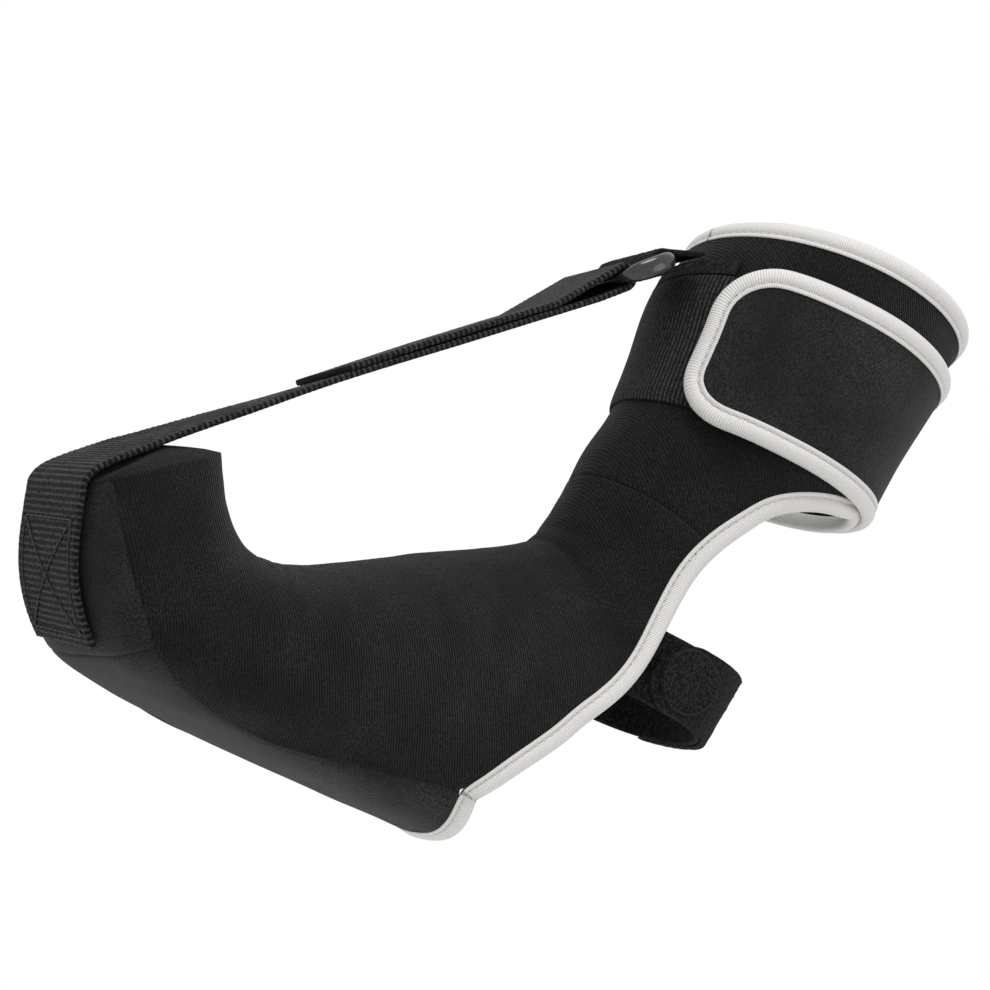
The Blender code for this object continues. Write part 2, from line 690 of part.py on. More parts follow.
def strap_route():
    """The toe strap's centres, each with its share of the twist: up the toe panel from its fold,
    over the toes' end, straight to the ring, round its outer bar, and back on top of itself."""
    lift = 2 * CLEARANCE + STRAP_THICKNESS / 2
    lower = []
    for share in np.linspace(0.0, 1.0, 8):
        station = STRAP_SEWN_FROM + (STRAP_CORNER - STRAP_SEWN_FROM) * share
        lower.append(lifted(station, 180.0, lift + STRAP_BULGE * math.sin(0.75 * math.pi * share)))
    centre, side, along, up = ring_place()
    bar = centre - along * (RING_BREADTH - RING_BAR) / 2
    turn_radius = RING_BAR / 2 + 2 * CLEARANCE + STRAP_THICKNESS / 2
    corner = form_point(0.0, 180.0)
    back_way = form_point(0.0, 0.0) - corner
    back_way = back_way / np.linalg.norm(back_way)
    out_way = np.array([0.0, -back_way[2], back_way[1]])
    bend = [corner + back * back_way + out * out_way for back, out in STRAP_TURN]
    run_start = bend[-1]
    run_end = bar - up * turn_radius - along * 0.012
    flat = smooth_path(lower + bend, 4)
    route = [(point, STRAP_TWISTS[0][0] * (1 - row / (len(flat) - 1)) ** 0.6) for row, point in enumerate(flat)]
    run_length = np.linalg.norm(run_end - run_start)
    for share in np.linspace(0.08, 1.0, 12):
        route.append((run_start + share * (run_end - run_start), share))
    for angle in np.linspace(0.0, math.pi * 0.86, 8):
        route.append((bar + turn_radius * (math.sin(angle) * along - math.cos(angle) * up), 1.0))
    spacing = STRAP_THICKNESS + 2 * CLEARANCE
    for distance in np.linspace(0.016, RETURN_LENGTH, 9):
        share = 1 - distance / run_length
        bulge = 0.0004 * math.sin(math.pi * distance / RETURN_LENGTH)
        _, _, rise = strap_directions(share)
        route.append((run_start + share * (run_end - run_start) + (spacing + bulge) * rise, share))
    return route


def make_toe_strap(collection, materials):
    route = strap_route()
    places = [place for place, _ in route]
    across = [strap_directions(share)[0] for _, share in route]
    ups = []
    for row in range(len(places)):
        tangent = places[min(row + 1, len(places) - 1)] - places[max(row - 1, 0)]
        rise = np.cross(across[row], tangent)
        ups.append(rise / np.linalg.norm(rise))
    return add_band(collection, "toe_strap", places, across, ups, STRAP_WIDTH, STRAP_THICKNESS,
                    materials["webbing"], sides=8, roundness=9.0)


def make_ring_tab(collection, materials):
    """A short fold of tape from the shin round the ring's inner bar."""
    centre, side, along, _ = ring_place()
    bar = centre + along * (RING_BREADTH - RING_BAR) / 2
    radius = 0.62 * RING_BAR + CLEARANCE + TAB_THICKNESS / 2
    lift = 4 * CLEARANCE + 2.4 * TAB_THICKNESS
    root = lifted(LOOP_BAND_HIGH + TAB_ROOT, 0.0, lift)
    way = root - bar
    way[0] = 0.0
    length = np.linalg.norm(way)
    way = way / length
    up = np.array([0.0, -way[2], way[1]])
    pinch = 0.55 * TAB_THICKNESS + CLEARANCE
    turn = [bar + radius * (-math.sin(angle) * way - math.cos(angle) * up)
            for angle in np.linspace(0.0, math.pi, 10)]
    low_root = root - pinch * up
    high_root = root + pinch * up
    route = [low_root, 0.45 * low_root + 0.55 * turn[0]] + turn + [0.45 * high_root + 0.55 * turn[-1], high_root]
    route = resampled(route, 18)
    ups = []
    for row in range(len(route)):
        tangent = route[min(row + 1, len(route) - 1)] - route[max(row - 1, 0)]
        rise = np.cross(side, tangent)
        ups.append(rise / np.linalg.norm(rise))
    return add_band(collection, "ring_tab", route, [side] * len(route), ups, STRAP_WIDTH * 0.9, TAB_THICKNESS,
                    materials["loop_pile"], sides=8, roundness=9.0)


def make_tab_strip(collection, materials):
    """The sewn fuzzy strip across the shin that holds the ring's tab, leading under the flap."""
    rows, columns = 2, 12
    lift = 1.6 * CLEARANCE + TAB_THICKNESS
    grid = []
    for row in range(rows + 1):
        low = LOOP_BAND_HIGH + station_for(LOOP_BAND_HIGH, 0.0, SEAM_GAP)
        station = low + (TAB_STRIP_HIGH - low) * row / rows
        limit = shin_angle(station, STRAP_WIDTH * 0.56)
        grid.append([lifted(station, limit * (2 * column / columns - 1), lift)
                     for column in range(columns + 1)])
    return add_shell(collection, "tab_strip", grid, TAB_THICKNESS, materials["loop_pile"])


def heel_strap_route(half_width, rear, front_near, front_far, count):
    """Plan of a strap round the heel, from the near side's front to the far side's front. Its
    front ends lean inward, behind the sleeve's bound edge."""
    straight_end = rear - half_width * 0.82
    points = []
    for y in np.linspace(front_near, straight_end, 12):
        lean = min(max((HEEL_LEAN_FROM - y) / HEEL_LEAN_LENGTH, 0.0), 1.0)
        points.append(np.array([half_width - HEEL_LEAN * lean * lean * (3 - 2 * lean), y]))
    for step in range(1, 24):
        turn = math.pi * step / 24
        points.append(np.array([half_width * math.cos(turn),
                                straight_end + (rear - straight_end) * math.sin(turn)]))
    for y in np.linspace(straight_end, front_far, 12):
        lean = min(max((HEEL_LEAN_FROM - y) / HEEL_LEAN_LENGTH, 0.0), 1.0)
        points.append(np.array([-half_width + HEEL_LEAN * lean * lean * (3 - 2 * lean), y]))
    return resampled(points, count)


def add_heel_band(collection, name, plan, width, height, thickness, material):
    centres = [np.array([x, y, height + HEEL_STRAP_SLOPE * y]) for x, y in plan]
    across, ups = [], []
    for row in range(len(centres)):
        tangent = centres[min(row + 1, len(centres) - 1)] - centres[max(row - 1, 0)]
        upward = np.array([0.0, HEEL_STRAP_TILT, 1.0])
        outward = np.cross(tangent, upward)
        outward = outward / np.linalg.norm(outward)
        side = np.cross(outward, tangent)
        across.append(side / np.linalg.norm(side))
        ups.append(outward)
    return add_band(collection, name, centres, across, ups, width, thickness, material, sides=8, roundness=9.0)


def heel_half_width():
    """Half the span of the heel strap's middle plane: it runs inside the sleeve's wall."""
    return ANKLE_HALF_WIDTH - CLOTH - 4 * CLEARANCE - HEEL_STRAP_THICKNESS / 2


def make_heel_strap(collection, materials):
    plan = heel_strap_route(heel_half_width(), HEEL_STRAP_REACH, -0.024, -0.024, 34)
    return add_heel_band(collection, "heel_strap", plan, HEEL_STRAP_WIDTH, HEEL_STRAP_HEIGHT,
                         HEEL_STRAP_THICKNESS, materials["loop_pile"])


def tab_offset():
    return HEEL_STRAP_THICKNESS + CLEARANCE * 1.8


def make_heel_strap_tab(collection, materials):
    """The closing tab: an outer layer from the near side round to the back, its front end round."""
    half = heel_half_width() + tab_offset()
    rear = HEEL_STRAP_REACH + tab_offset()
    plan = heel_strap_route(half, rear, -0.008, -0.024, 60)
    kept = [point for point in plan if not (point[0] < 0 and point[1] < rear - 0.006)]
    kept = resampled(kept, 24)
    centres = [np.array([x, y, HEEL_STRAP_HEIGHT + HEEL_STRAP_SLOPE * y]) for x, y in kept]
    reach = np.concatenate([[0.0], np.cumsum(np.linalg.norm(np.diff(np.array(centres), axis=0), axis=1))])
    end_radius = HEEL_STRAP_WIDTH / 2
    rows = 6
    grid = []
    fine = list(end_radius * (1 - np.cos(np.linspace(0.12, math.pi / 2, 6)))) + list(
        np.linspace(end_radius * 1.25, reach[-1], 13))
    table = np.array(centres)
    across_way = np.array([0.0, HEEL_STRAP_TILT, 1.0])
    across_way = across_way / np.linalg.norm(across_way)
    for row in range(rows + 1):
        height = (2 * row / rows - 1)
        line = []
        for place in fine:
            inside = min(place / end_radius, 1.0)
            half_height = end_radius * math.sqrt(max(1 - (1 - inside) ** 2, 0.0))
            centre = np.array([np.interp(place, reach, table[:, axis]) for axis in range(3)])
            line.append(centre + height * half_height * across_way)
        grid.append(line)
    made = add_shell(collection, "heel_strap_tab", grid, HEEL_STRAP_THICKNESS, materials["loop_pile"])
    made.modifiers["wall"].offset = 0.0
    return made


def make_hook_patch(collection, materials):
    """A stitched round patch on the closing tab's flat side."""
    half = heel_half_width() + tab_offset() + HEEL_STRAP_THICKNESS / 2 + CLEARANCE + PATCH_THICKNESS / 2
    bpy.ops.mesh.primitive_cylinder_add(vertices=28, radius=PATCH_DIAMETER / 2, depth=PATCH_THICKNESS,
                                        location=(half, PATCH_BACK, HEEL_STRAP_HEIGHT + HEEL_STRAP_SLOPE * PATCH_BACK),
                                        rotation=(0.0, math.pi / 2, 0.0))
    made = bpy.context.object
    made.name = "hook_patch"
    made.data.name = "hook_patch"
    made.data.materials.append(materials["loop_pile"])
    for owner in list(made.users_collection):
        owner.objects.unlink(made)
    collection.objects.link(made)
    return made


def main():
    collection = start_scene()
    materials = make_materials()
    makers = (make_foot_sleeve, make_toe_panel, make_sole_panel, make_ankle_panel, make_cuff, make_loop_band,
              make_closure_flap, make_cuff_binding, make_heel_edge_binding,
              make_flap_binding, make_strap_ring, make_toe_strap, make_ring_tab, make_tab_strip,
              make_heel_strap, make_heel_strap_tab, make_hook_patch)
    for maker in makers:
        maker(collection, materials)


main()
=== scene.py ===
"""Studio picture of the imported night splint. The cloth, bindings, webbing and ring are modelled again
with fine relief over the same form as the solids, finished with procedural materials, and lit softly
in front of plain white. Metres, +Z up along the leg, toes toward -Y."""
import json
import math

import bpy
import numpy as np
from mathutils import Matrix, Vector, noise

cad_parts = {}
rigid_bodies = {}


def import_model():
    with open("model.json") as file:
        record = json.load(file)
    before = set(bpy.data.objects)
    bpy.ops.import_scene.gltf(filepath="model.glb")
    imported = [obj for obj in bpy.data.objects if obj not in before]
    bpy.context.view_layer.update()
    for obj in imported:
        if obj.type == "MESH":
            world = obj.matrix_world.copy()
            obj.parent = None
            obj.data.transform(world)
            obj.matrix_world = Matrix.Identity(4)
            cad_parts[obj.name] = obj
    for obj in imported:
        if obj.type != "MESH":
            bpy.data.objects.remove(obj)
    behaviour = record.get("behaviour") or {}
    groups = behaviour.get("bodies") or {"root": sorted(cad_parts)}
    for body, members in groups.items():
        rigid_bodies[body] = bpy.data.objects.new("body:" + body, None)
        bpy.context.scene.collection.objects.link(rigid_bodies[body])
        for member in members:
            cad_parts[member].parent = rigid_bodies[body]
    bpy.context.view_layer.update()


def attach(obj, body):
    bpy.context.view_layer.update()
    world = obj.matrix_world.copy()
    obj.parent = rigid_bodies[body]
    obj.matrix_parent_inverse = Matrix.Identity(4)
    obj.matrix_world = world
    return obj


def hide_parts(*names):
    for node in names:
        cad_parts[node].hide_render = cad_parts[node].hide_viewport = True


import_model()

# Driving sizes of the form, as in the part's source
LEG_FRONT = 0.042
FOOT_FORWARD = 0.177
FOOT_HEIGHT = 0.100
FOOT_HALF_WIDTH = 0.0455
ANKLE_HALF_WIDTH = 0.036
LEG_DEPTH = 0.102
LEG_RISE = 0.120
LEG_HALF_WIDTH = 0.0515
CUFF_SLANT = 0.0065
ANKLE_LEVEL = 1.130

# Cloth, seams and bindings
CLOTH = 0.0025
SEAM = 0.00004
SEAM_DIP = 0.00055
SEAM_SOFT = 0.0014
SEAM_THREAD = 0.0006
SEAM_THREAD_DEPTH = 0.00135
FLAP_LIFT = 0.0012
FLAP_RISE = 0.0019
LOOP_BAND_THICKNESS = 0.0013

# Straps and their fittings
STRAP_WIDTH = 0.042
STRAP_THICKNESS = 0.0022
STRAP_RIB = 0.00205
RETURN_LENGTH = 0.098
STRAP_SEWN_FROM = 2.45
STRAP_CORNER = 0.12
STRAP_BULGE = 0.0013
# How far the toe strap is turned about its own length
STRAP_TWISTS = (
    # share of the straight run, degrees
    (-0.10, 5.0), (0.00, 1.0), (0.20, -2.4), (0.35, -5.0), (0.70, -4.8), (1.00, -4.4),
)
# Where the toe strap bends over the toes' end: lengths back from its lower corner and out from it
STRAP_TURN = ((-0.0010, 0.0025), (0.0062, 0.0056), (0.0273, 0.0080))
RING_AHEAD = 0.0593
RING_HEIGHT = 0.1985
RING_LENGTH = 0.058
RING_BREADTH = 0.0225
RING_BAR = 0.0046
RING_END_HEIGHT = 0.0066
LAYER_GAP = 0.0001
TAB_THICKNESS = 0.0015
HEEL_STRAP_WIDTH = 0.026
HEEL_STRAP_THICKNESS = 0.0020
HEEL_STRAP_HEIGHT = 0.0757
HEEL_STRAP_SLOPE = -0.04
HEEL_STRAP_TILT = 0.20
HEEL_STRAP_REACH = 0.0335
HEEL_LEAN = 0.0025
HEEL_LEAN_FROM = 0.002
HEEL_LEAN_LENGTH = 0.020
PATCH_RADIUS = 0.0115
PATCH_BACK = 0.0048
CLEARANCE = 0.0003

# Sections of the form, as in the part's source
FOOT_SECTIONS = (
    # top ahead, top height, low ahead, low height, half width, upper fullness, lower fullness
    (0.766, 0.765, 0.985, 0.470, 0.680, 3.0, 3.4),
    (0.722, 0.620, 0.941, 0.240, 0.813, 2.8, 3.4),
    (0.666, 0.535, 0.884, 0.085, 0.923, 2.5, 3.4),
    (0.592, 0.528, 0.818, -0.005, 0.978, 2.4, 3.4),
    (0.503, 0.575, 0.695, -0.038, 1.000, 2.3, 3.4),
    (0.395, 0.673, 0.497, -0.055, 0.967, 2.2, 3.4),
    (0.271, 0.800, 0.299, -0.055, 0.900, 2.1, 3.2),
    (0.158, 0.910, 0.113, -0.050, 0.835, 2.1, 3.0),
    (0.102, 0.965, 0.000, -0.040, 0.802, 2.1, 3.0),
)
ANKLE_SECTIONS = (
    # top back, top height, low back, low height, half width, upper fullness, lower fullness
    (-0.520, 1.010, -0.050, 0.000, 1.000, 2.1, 2.4),
    (-0.485, 1.050, 0.275, 0.220, 0.986, 2.1, 2.2),
    (-0.456, 1.130, 0.430, 0.700, 1.000, 2.0, 2.0),
)
LEG_SECTIONS = (
    # front back, front rise, rear back, rear rise, half width, front fullness, rear fullness
    (-0.424, 0.108, 0.490, 0.000, 0.738, 2.0, 2.0),
    (-0.402, 0.242, 0.559, 0.225, 0.796, 2.0, 2.0),
    (-0.345, 0.412, 0.600, 0.408, 0.874, 2.0, 2.0),
    (-0.332, 0.592, 0.632, 0.592, 0.932, 2.0, 2.0),
    (-0.336, 0.792, 0.690, 0.792, 0.971, 2.0, 2.0),
    (-0.265, 1.020, 0.745, 0.983, 1.000, 2.0, 2.0),
)
SOLE_SEAM = (
    # station, angle
    (0.00, 132.0), (0.80, 121.0), (1.30, 118.5), (1.95, 119.0), (2.45, 122.0), (2.90, 127.0),
    (3.40, 134.0), (3.80, 142.0), (4.30, 149.0), (4.85, 151.0), (5.25, 145.0), (5.75, 137.0),
    (6.25, 130.0), (6.70, 127.0), (7.10, 126.0),
)
HEEL_EDGE = (
    # station, angle
    (7.10, 126.0), (7.69, 110.0), (8.19, 99.0), (9.00, 87.0), (9.69, 80.0), (10.19, 76.0),
    (10.75, 72.0), (11.44, 70.0), (12.12, 74.0), (12.69, 80.0), (13.19, 87.0), (13.50, 98.0),
    (13.75, 114.0), (13.90, 130.0),
)
TOE_FOLD = 2.9
TOE_WALL_CORNER = 156.0
TOE_WALL_DOME = 0.0066
TOE_WALL_CREST = 0.4
SOLE_END = 7.10
SOLE_END_BULGE = 0.50
SOLE_END_PEAK = 191.0
HEEL_CORNER_ROUNDING = 12
ANKLE_SEAM_FRONT = 12.35
ANKLE_SEAM_DROP = 0.35
ANKLE_SEAM_SIDE = 73.0
CUFF_SEAM = 14.0
CUFF_EDGE = 16.72
LOOP_BAND_FAR = -74.0
LOOP_BAND_NEAR = 50.0
LOOP_BAND_LOW = 14.02
LOOP_BAND_HIGH = 16.06
LOOP_BAND_SEWN = 0.05
TAB_STRIP_HIGH = 16.30
TAB_ROOT = 0.12
FLAP_LOW = 14.11
FLAP_HIGH = 15.99
FLAP_FRONT = 34.5
FLAP_ROOT = 214.0
FLAP_CORNER = 0.50
FLAP_CORNER_DEGREES = 16.0

# Section of the edge binding: how far past the cloth's edge, and height over the cloth's middle
BINDING_SECTION = (
    # past the edge, height, both in millimetres
    (-0.45, 1.34), (-0.40, 1.72), (0.20, 1.86), (0.80, 1.84), (1.10, 1.62), (1.30, 1.22), (1.55, 1.55),
    (2.00, 1.98), (2.80, 2.36), (3.80, 2.48), (4.90, 2.30), (5.90, 1.80), (6.70, 0.95), (7.05, 0.0),
    (6.75, -0.95), (6.00, -1.70), (5.00, -2.10), (3.70, -2.20), (2.40, -2.00), (1.40, -1.60), (0.85, -1.00),
    (0.75, 0.0), (0.72, 1.00),
)

# The flat cut of each sheet of cloth
FLAT_CUTS = (
    # piece, width, length, area of the cut, how it is held, pieces on it
    ("sleeve_cloth", 0.225, 0.235, 0.0390, "stretched", ("heel_edge_binding_tape", "seam_threads")),
    ("toe_cloth", 0.078, 0.058, 0.00412, "stretched", ()),
    ("sole_cloth", 0.078, 0.140, 0.00924, "stretched", ()),
    ("ankle_cloth", 0.150, 0.045, 0.00518, "stretched", ()),
    ("cuff_cloth", 0.295, 0.070, 0.0201, "stretched", ("cuff_binding_tape",)),
    ("flap_cloth", 0.170, 0.046, 0.00756, "stretched", ("flap_binding_tape",)),
    ("band_cloth", 0.110, 0.047, 0.00506, "laid", ()),
    ("heel_tab_pile", 0.026, 0.092, 0.00224, "folded", ("patch_pile",)),
    ("strap_webbing", 0.042, 0.405, 0.0170, "stretched", ("strap_stitches",)),
    ("heel_strap_pile", 0.026, 0.160, 0.0041, "folded", ()),
    ("ring_tape", 0.038, 0.050, 0.0019, "folded", ()),
)

# Where the photo was taken from
PHOTO_TOWARD_TOES = 28.0
PHOTO_ELEVATION = -12.5
PHOTO_ROLL = -21.5
PHOTO_DISTANCE = 1.250
PHOTO_TARGET = (0.0, -0.060, 0.110)
PHOTO_ORIGIN_PIXEL = (544.0, 877.0)
PHOTO_PIXELS = 990
PIXELS_PER_METRE = 2950.0
SENSOR = 36.0


def section_values():
    """The sections in metres: top y and z, low y and z, half width and both fullnesses."""
    rows = []
    for top, top_up, low, low_up, half, upper, lower in FOOT_SECTIONS:
        rows.append((-LEG_FRONT - top * FOOT_FORWARD, top_up * FOOT_HEIGHT,
                     -LEG_FRONT - low * FOOT_FORWARD, low_up * FOOT_HEIGHT,
                     half * FOOT_HALF_WIDTH, upper, lower))
    for top, top_up, low, low_up, half, upper, lower in ANKLE_SECTIONS:
        rows.append((top * LEG_DEPTH, top_up * FOOT_HEIGHT, low * LEG_DEPTH, low_up * FOOT_HEIGHT,
                     half * ANKLE_HALF_WIDTH, upper, lower))
    level = ANKLE_LEVEL * FOOT_HEIGHT
    for top, top_up, low, low_up, half, upper, lower in LEG_SECTIONS:
        rows.append((top * LEG_DEPTH, level + top_up * LEG_RISE, low * LEG_DEPTH,
                     level + low_up * LEG_RISE, half * LEG_HALF_WIDTH, upper, lower))
    return np.array(rows)


SECTIONS = section_values()
LAST = len(SECTIONS) - 1


def section_at(station):
    station = min(max(station, 0.0), float(LAST))
    row = min(int(station), LAST - 1)
    t = station - row
    here, ahead = SECTIONS[row], SECTIONS[row + 1]
    before = SECTIONS[row - 1] if row > 0 else 2 * here - ahead
    after = SECTIONS[row + 2] if row + 2 <= LAST else 2 * ahead - here
    return 0.5 * (2 * here + (ahead - before) * t + (2 * before - 5 * here + 4 * ahead - after) * t ** 2
                  + (3 * here - before - 3 * ahead + after) * t ** 3)


def form_point(station, angle):
    """A point of the form's outer face."""
    top_y, top_z, low_y, low_z, half, upper, lower = section_at(station)
    turn = math.radians(angle)
    along, aside = math.cos(turn), math.sin(turn)
    power = 2 / (upper if along >= 0 else lower)
    middle = np.array([0.0, (top_y + low_y) / 2, (top_z + low_z) / 2])
    reach = np.array([0.0, (top_y - low_y) / 2, (top_z - low_z) / 2])
    side = math.copysign(abs(aside) ** power, aside)
    above_seam = min(max((station - CUFF_SEAM) / (LAST - CUFF_SEAM), 0.0), 1.0)
    sideways = np.array([side * half, 0.0, side * CUFF_SLANT * above_seam])
    return middle + math.copysign(abs(along) ** power, along) * reach + sideways


def form_normal(station, angle):
    step = 0.02
    forward = form_point(min(station + step, LAST), angle) - form_point(max(station - step, 0.0), angle)
    around = form_point(station, angle + 1.0) - form_point(station, angle - 1.0)
    normal = np.cross(around, forward)
    return normal / np.linalg.norm(normal)


def lifted(station, angle, lift):
    return form_point(station, angle) + lift * form_normal(station, angle)


def angle_for(station, angle, distance):
    around = form_point(station, angle + 0.5) - form_point(station, angle - 0.5)
    return distance / np.linalg.norm(around)


def station_for(station, angle, distance):
    step = 0.05
    along = form_point(station + step, angle) - form_point(station - step, angle)
    return 2 * step * distance / np.linalg.norm(along)


def read_table(rows, position):
    """A smooth reading of a table of (position, value) rows."""
    places = [row[0] for row in rows]
    values = [row[1] for row in rows]
    position = min(max(position, places[0]), places[-1])
    row = max(0, min(int(np.searchsorted(places, position, side="right")) - 1, len(places) - 2))
    slopes = np.gradient(np.array(values), np.array(places))
    span = places[row + 1] - places[row]
    t = (position - places[row]) / span
    rise = 3 * t ** 2 - 2 * t ** 3
    return ((1 - rise) * values[row] + rise * values[row + 1]
            + span * ((t ** 3 - 2 * t ** 2 + t) * slopes[row] + (t ** 3 - t ** 2) * slopes[row + 1]))


def resampled(points, count, closed=False):
    """The same path in equal steps. Columns after the third are carried along."""
    points = np.array(points)
    if closed:
        points = np.vstack([points, points[:1]])
    reach = path_lengths(points[:, :3])
    places = np.linspace(0.0, reach[-1], count + 1 if closed else count)
    if closed:
        places = places[:-1]
    return np.stack([np.interp(places, reach, points[:, axis]) for axis in range(points.shape[1])], axis=1)


def path_lengths(points):
    steps = np.linalg.norm(np.diff(points, axis=0), axis=1)
    return np.concatenate([[0.0], np.cumsum(steps)])


def smooth_path(points, steps=8):
    """A smooth curve through a few points."""
    points = [np.array(point, float) for point in points]
    padded = [2 * points[0] - points[1]] + points + [2 * points[-1] - points[-2]]
    path = []
    for row in range(1, len(padded) - 2):
        before, here, ahead, after = padded[row - 1:row + 3]
        for step in range(steps):
            t = step / steps
            path.append(0.5 * (2 * here + (ahead - before) * t
                               + (2 * before - 5 * here + 4 * ahead - after) * t ** 2
                               + (3 * here - before - 3 * ahead + after) * t ** 3))
    path.append(points[-1])
    return np.array(path)


def smooth_step(low, high, value):
    share = min(max((value - low) / (high - low), 0.0), 1.0)
    return share * share * (3 - 2 * share)


def uneven(point, size):
    """A soft random value from -1 to 1 that changes over a distance of about size."""
    return noise.noise(Vector(point) / size)


# Meshes

def add_object(name, vertices, faces, material, flat=None):
    """A new smooth-shaded object. flat gives each vertex's place on the cloth in millimetres."""
    mesh = bpy.data.meshes.new(name)
    mesh.from_pydata([tuple(vertex) for vertex in vertices], [], faces)
    mesh.materials.append(material)
    if flat is not None:
        layer = mesh.uv_layers.new(name="flat")
        for loop in mesh.loops:
            layer.data[loop.index].uv = flat[loop.vertex_index]
    mesh.shade_smooth()
    made = bpy.data.objects.new(name, mesh)
    bpy.context.scene.collection.objects.link(made)
    return made


def edge_shares(count, soft):
    """Shares from 0 to 1, closer together near both ends, where the cloth dips into its seams."""
    inner = np.linspace(0.0, 1.0, count + 1)
    near = [0.0, 0.3 * soft, 0.65 * soft, soft, 1.6 * soft]
    middle = [share for share in inner if 2.2 * soft < share < 1 - 2.2 * soft]
    return near + middle + [1 - share for share in reversed(near)]


def add_cloth(name, surface, rows, columns, material, thickness=CLOTH, closed=False, rim=0.0004):
    """A sheet of cloth from a function of its row and column shares, with a wall and soft rims."""
    grid = np.array([[surface(row, column) for column in columns] for row in rows])
    count_rows, count_columns = grid.shape[:2]
    down = np.zeros((count_rows, count_columns))
    down[1:] = np.cumsum(np.linalg.norm(np.diff(grid, axis=0), axis=2), axis=0)
    over = np.zeros((count_rows, count_columns))
    over[:, 1:] = np.cumsum(np.linalg.norm(np.diff(grid, axis=1), axis=2), axis=1)
    over -= over[:, count_columns // 2][:, None]
    flat = [(1000 * down[row, column], 1000 * over[row, column])
            for row in range(count_rows) for column in range(count_columns)]
    faces = []
    for row in range(count_rows - 1):
        for column in range(count_columns if closed else count_columns - 1):
            following = (column + 1) % count_columns
            faces.append((row * count_columns + column, row * count_columns + following,
                          (row + 1) * count_columns + following, (row + 1) * count_columns + column))
    made = add_object(name, grid.reshape(-1, 3), faces, material, flat)
    wall = made.modifiers.new("wall", "SOLIDIFY")
    wall.thickness = thickness
    wall.offset = -1.0
    wall.use_even_offset = True
    soft = made.modifiers.new("soft_rim", "BEVEL")
    soft.width = rim
    soft.segments = 3
    soft.limit_method = "ANGLE"
    soft.angle_limit = math.radians(50)
    return made


def add_loft(name, rings, material, closed=False, flat=None):
    """A solid lofted through closed rings of points."""
    rings = np.array(rings)
    rows, sides = rings.shape[:2]
    faces = []
    for row in range(rows if closed else rows - 1):
        following = (row + 1) % rows
        for side in range(sides):
            beside = (side + 1) % sides
            faces.append((row * sides + side, following * sides + side,
                          following * sides + beside, row * sides + beside))
    if not closed:
        faces.append(tuple(range(sides)))
        faces.append(tuple(reversed(range((rows - 1) * sides, rows * sides))))
    if flat is None:
        reach = path_lengths(rings.mean(axis=1))
        girth = path_lengths(np.vstack([rings[0], rings[0][:1]]))
        flat = [(1000 * reach[row], 1000 * girth[side]) for row in range(rows) for side in range(sides)]
    return add_object(name, rings.reshape(-1, 3), faces, material, flat)


def path_frames(centres, normals, closed=False):
    """Across and up directions of a band that lies on a surface with these normals."""
    count = len(centres)
    across, up = [], []
    for row in range(count):
        if closed:
            tangent = centres[(row + 1) % count] - centres[row - 1]
        else:
            tangent = centres[min(row + 1, count - 1)] - centres[max(row - 1, 0)]
        tangent = tangent / np.linalg.norm(tangent)
        side = np.cross(tangent, normals[row])
        side = side / np.linalg.norm(side)
        across.append(side)
        up.append(np.cross(side, tangent))
    return across, up


def add_tubes(name, paths, radius, material, sides=6):
    """Thin round threads, all in one piece."""
    vertices, faces = [], []
    for path in paths:
        path = np.array(path)
        first = len(vertices)
        for row in range(len(path)):
            tangent = path[min(row + 1, len(path) - 1)] - path[max(row - 1, 0)]
            tangent = tangent / np.linalg.norm(tangent)
            side = np.cross(tangent, [0.31, 0.22, 0.92])
            side = side / np.linalg.norm(side)
            rise = np.cross(side, tangent)
            for step in range(sides):
                turn = 2 * math.pi * step / sides
                vertices.append(path[row] + radius * (math.cos(turn) * side + math.sin(turn) * rise))
        for row in range(len(path) - 1):
            for step in range(sides):
                beside = (step + 1) % sides
                here = first + row * sides
                faces.append((here + step, here + beside, here + sides + beside, here + sides + step))
        faces.append(tuple(reversed(range(first, first + sides))))
        faces.append(tuple(range(len(vertices) - sides, len(vertices))))
    return add_object(name, vertices, faces, material, [(0.0, 0.0)] * len(vertices))


# Materials

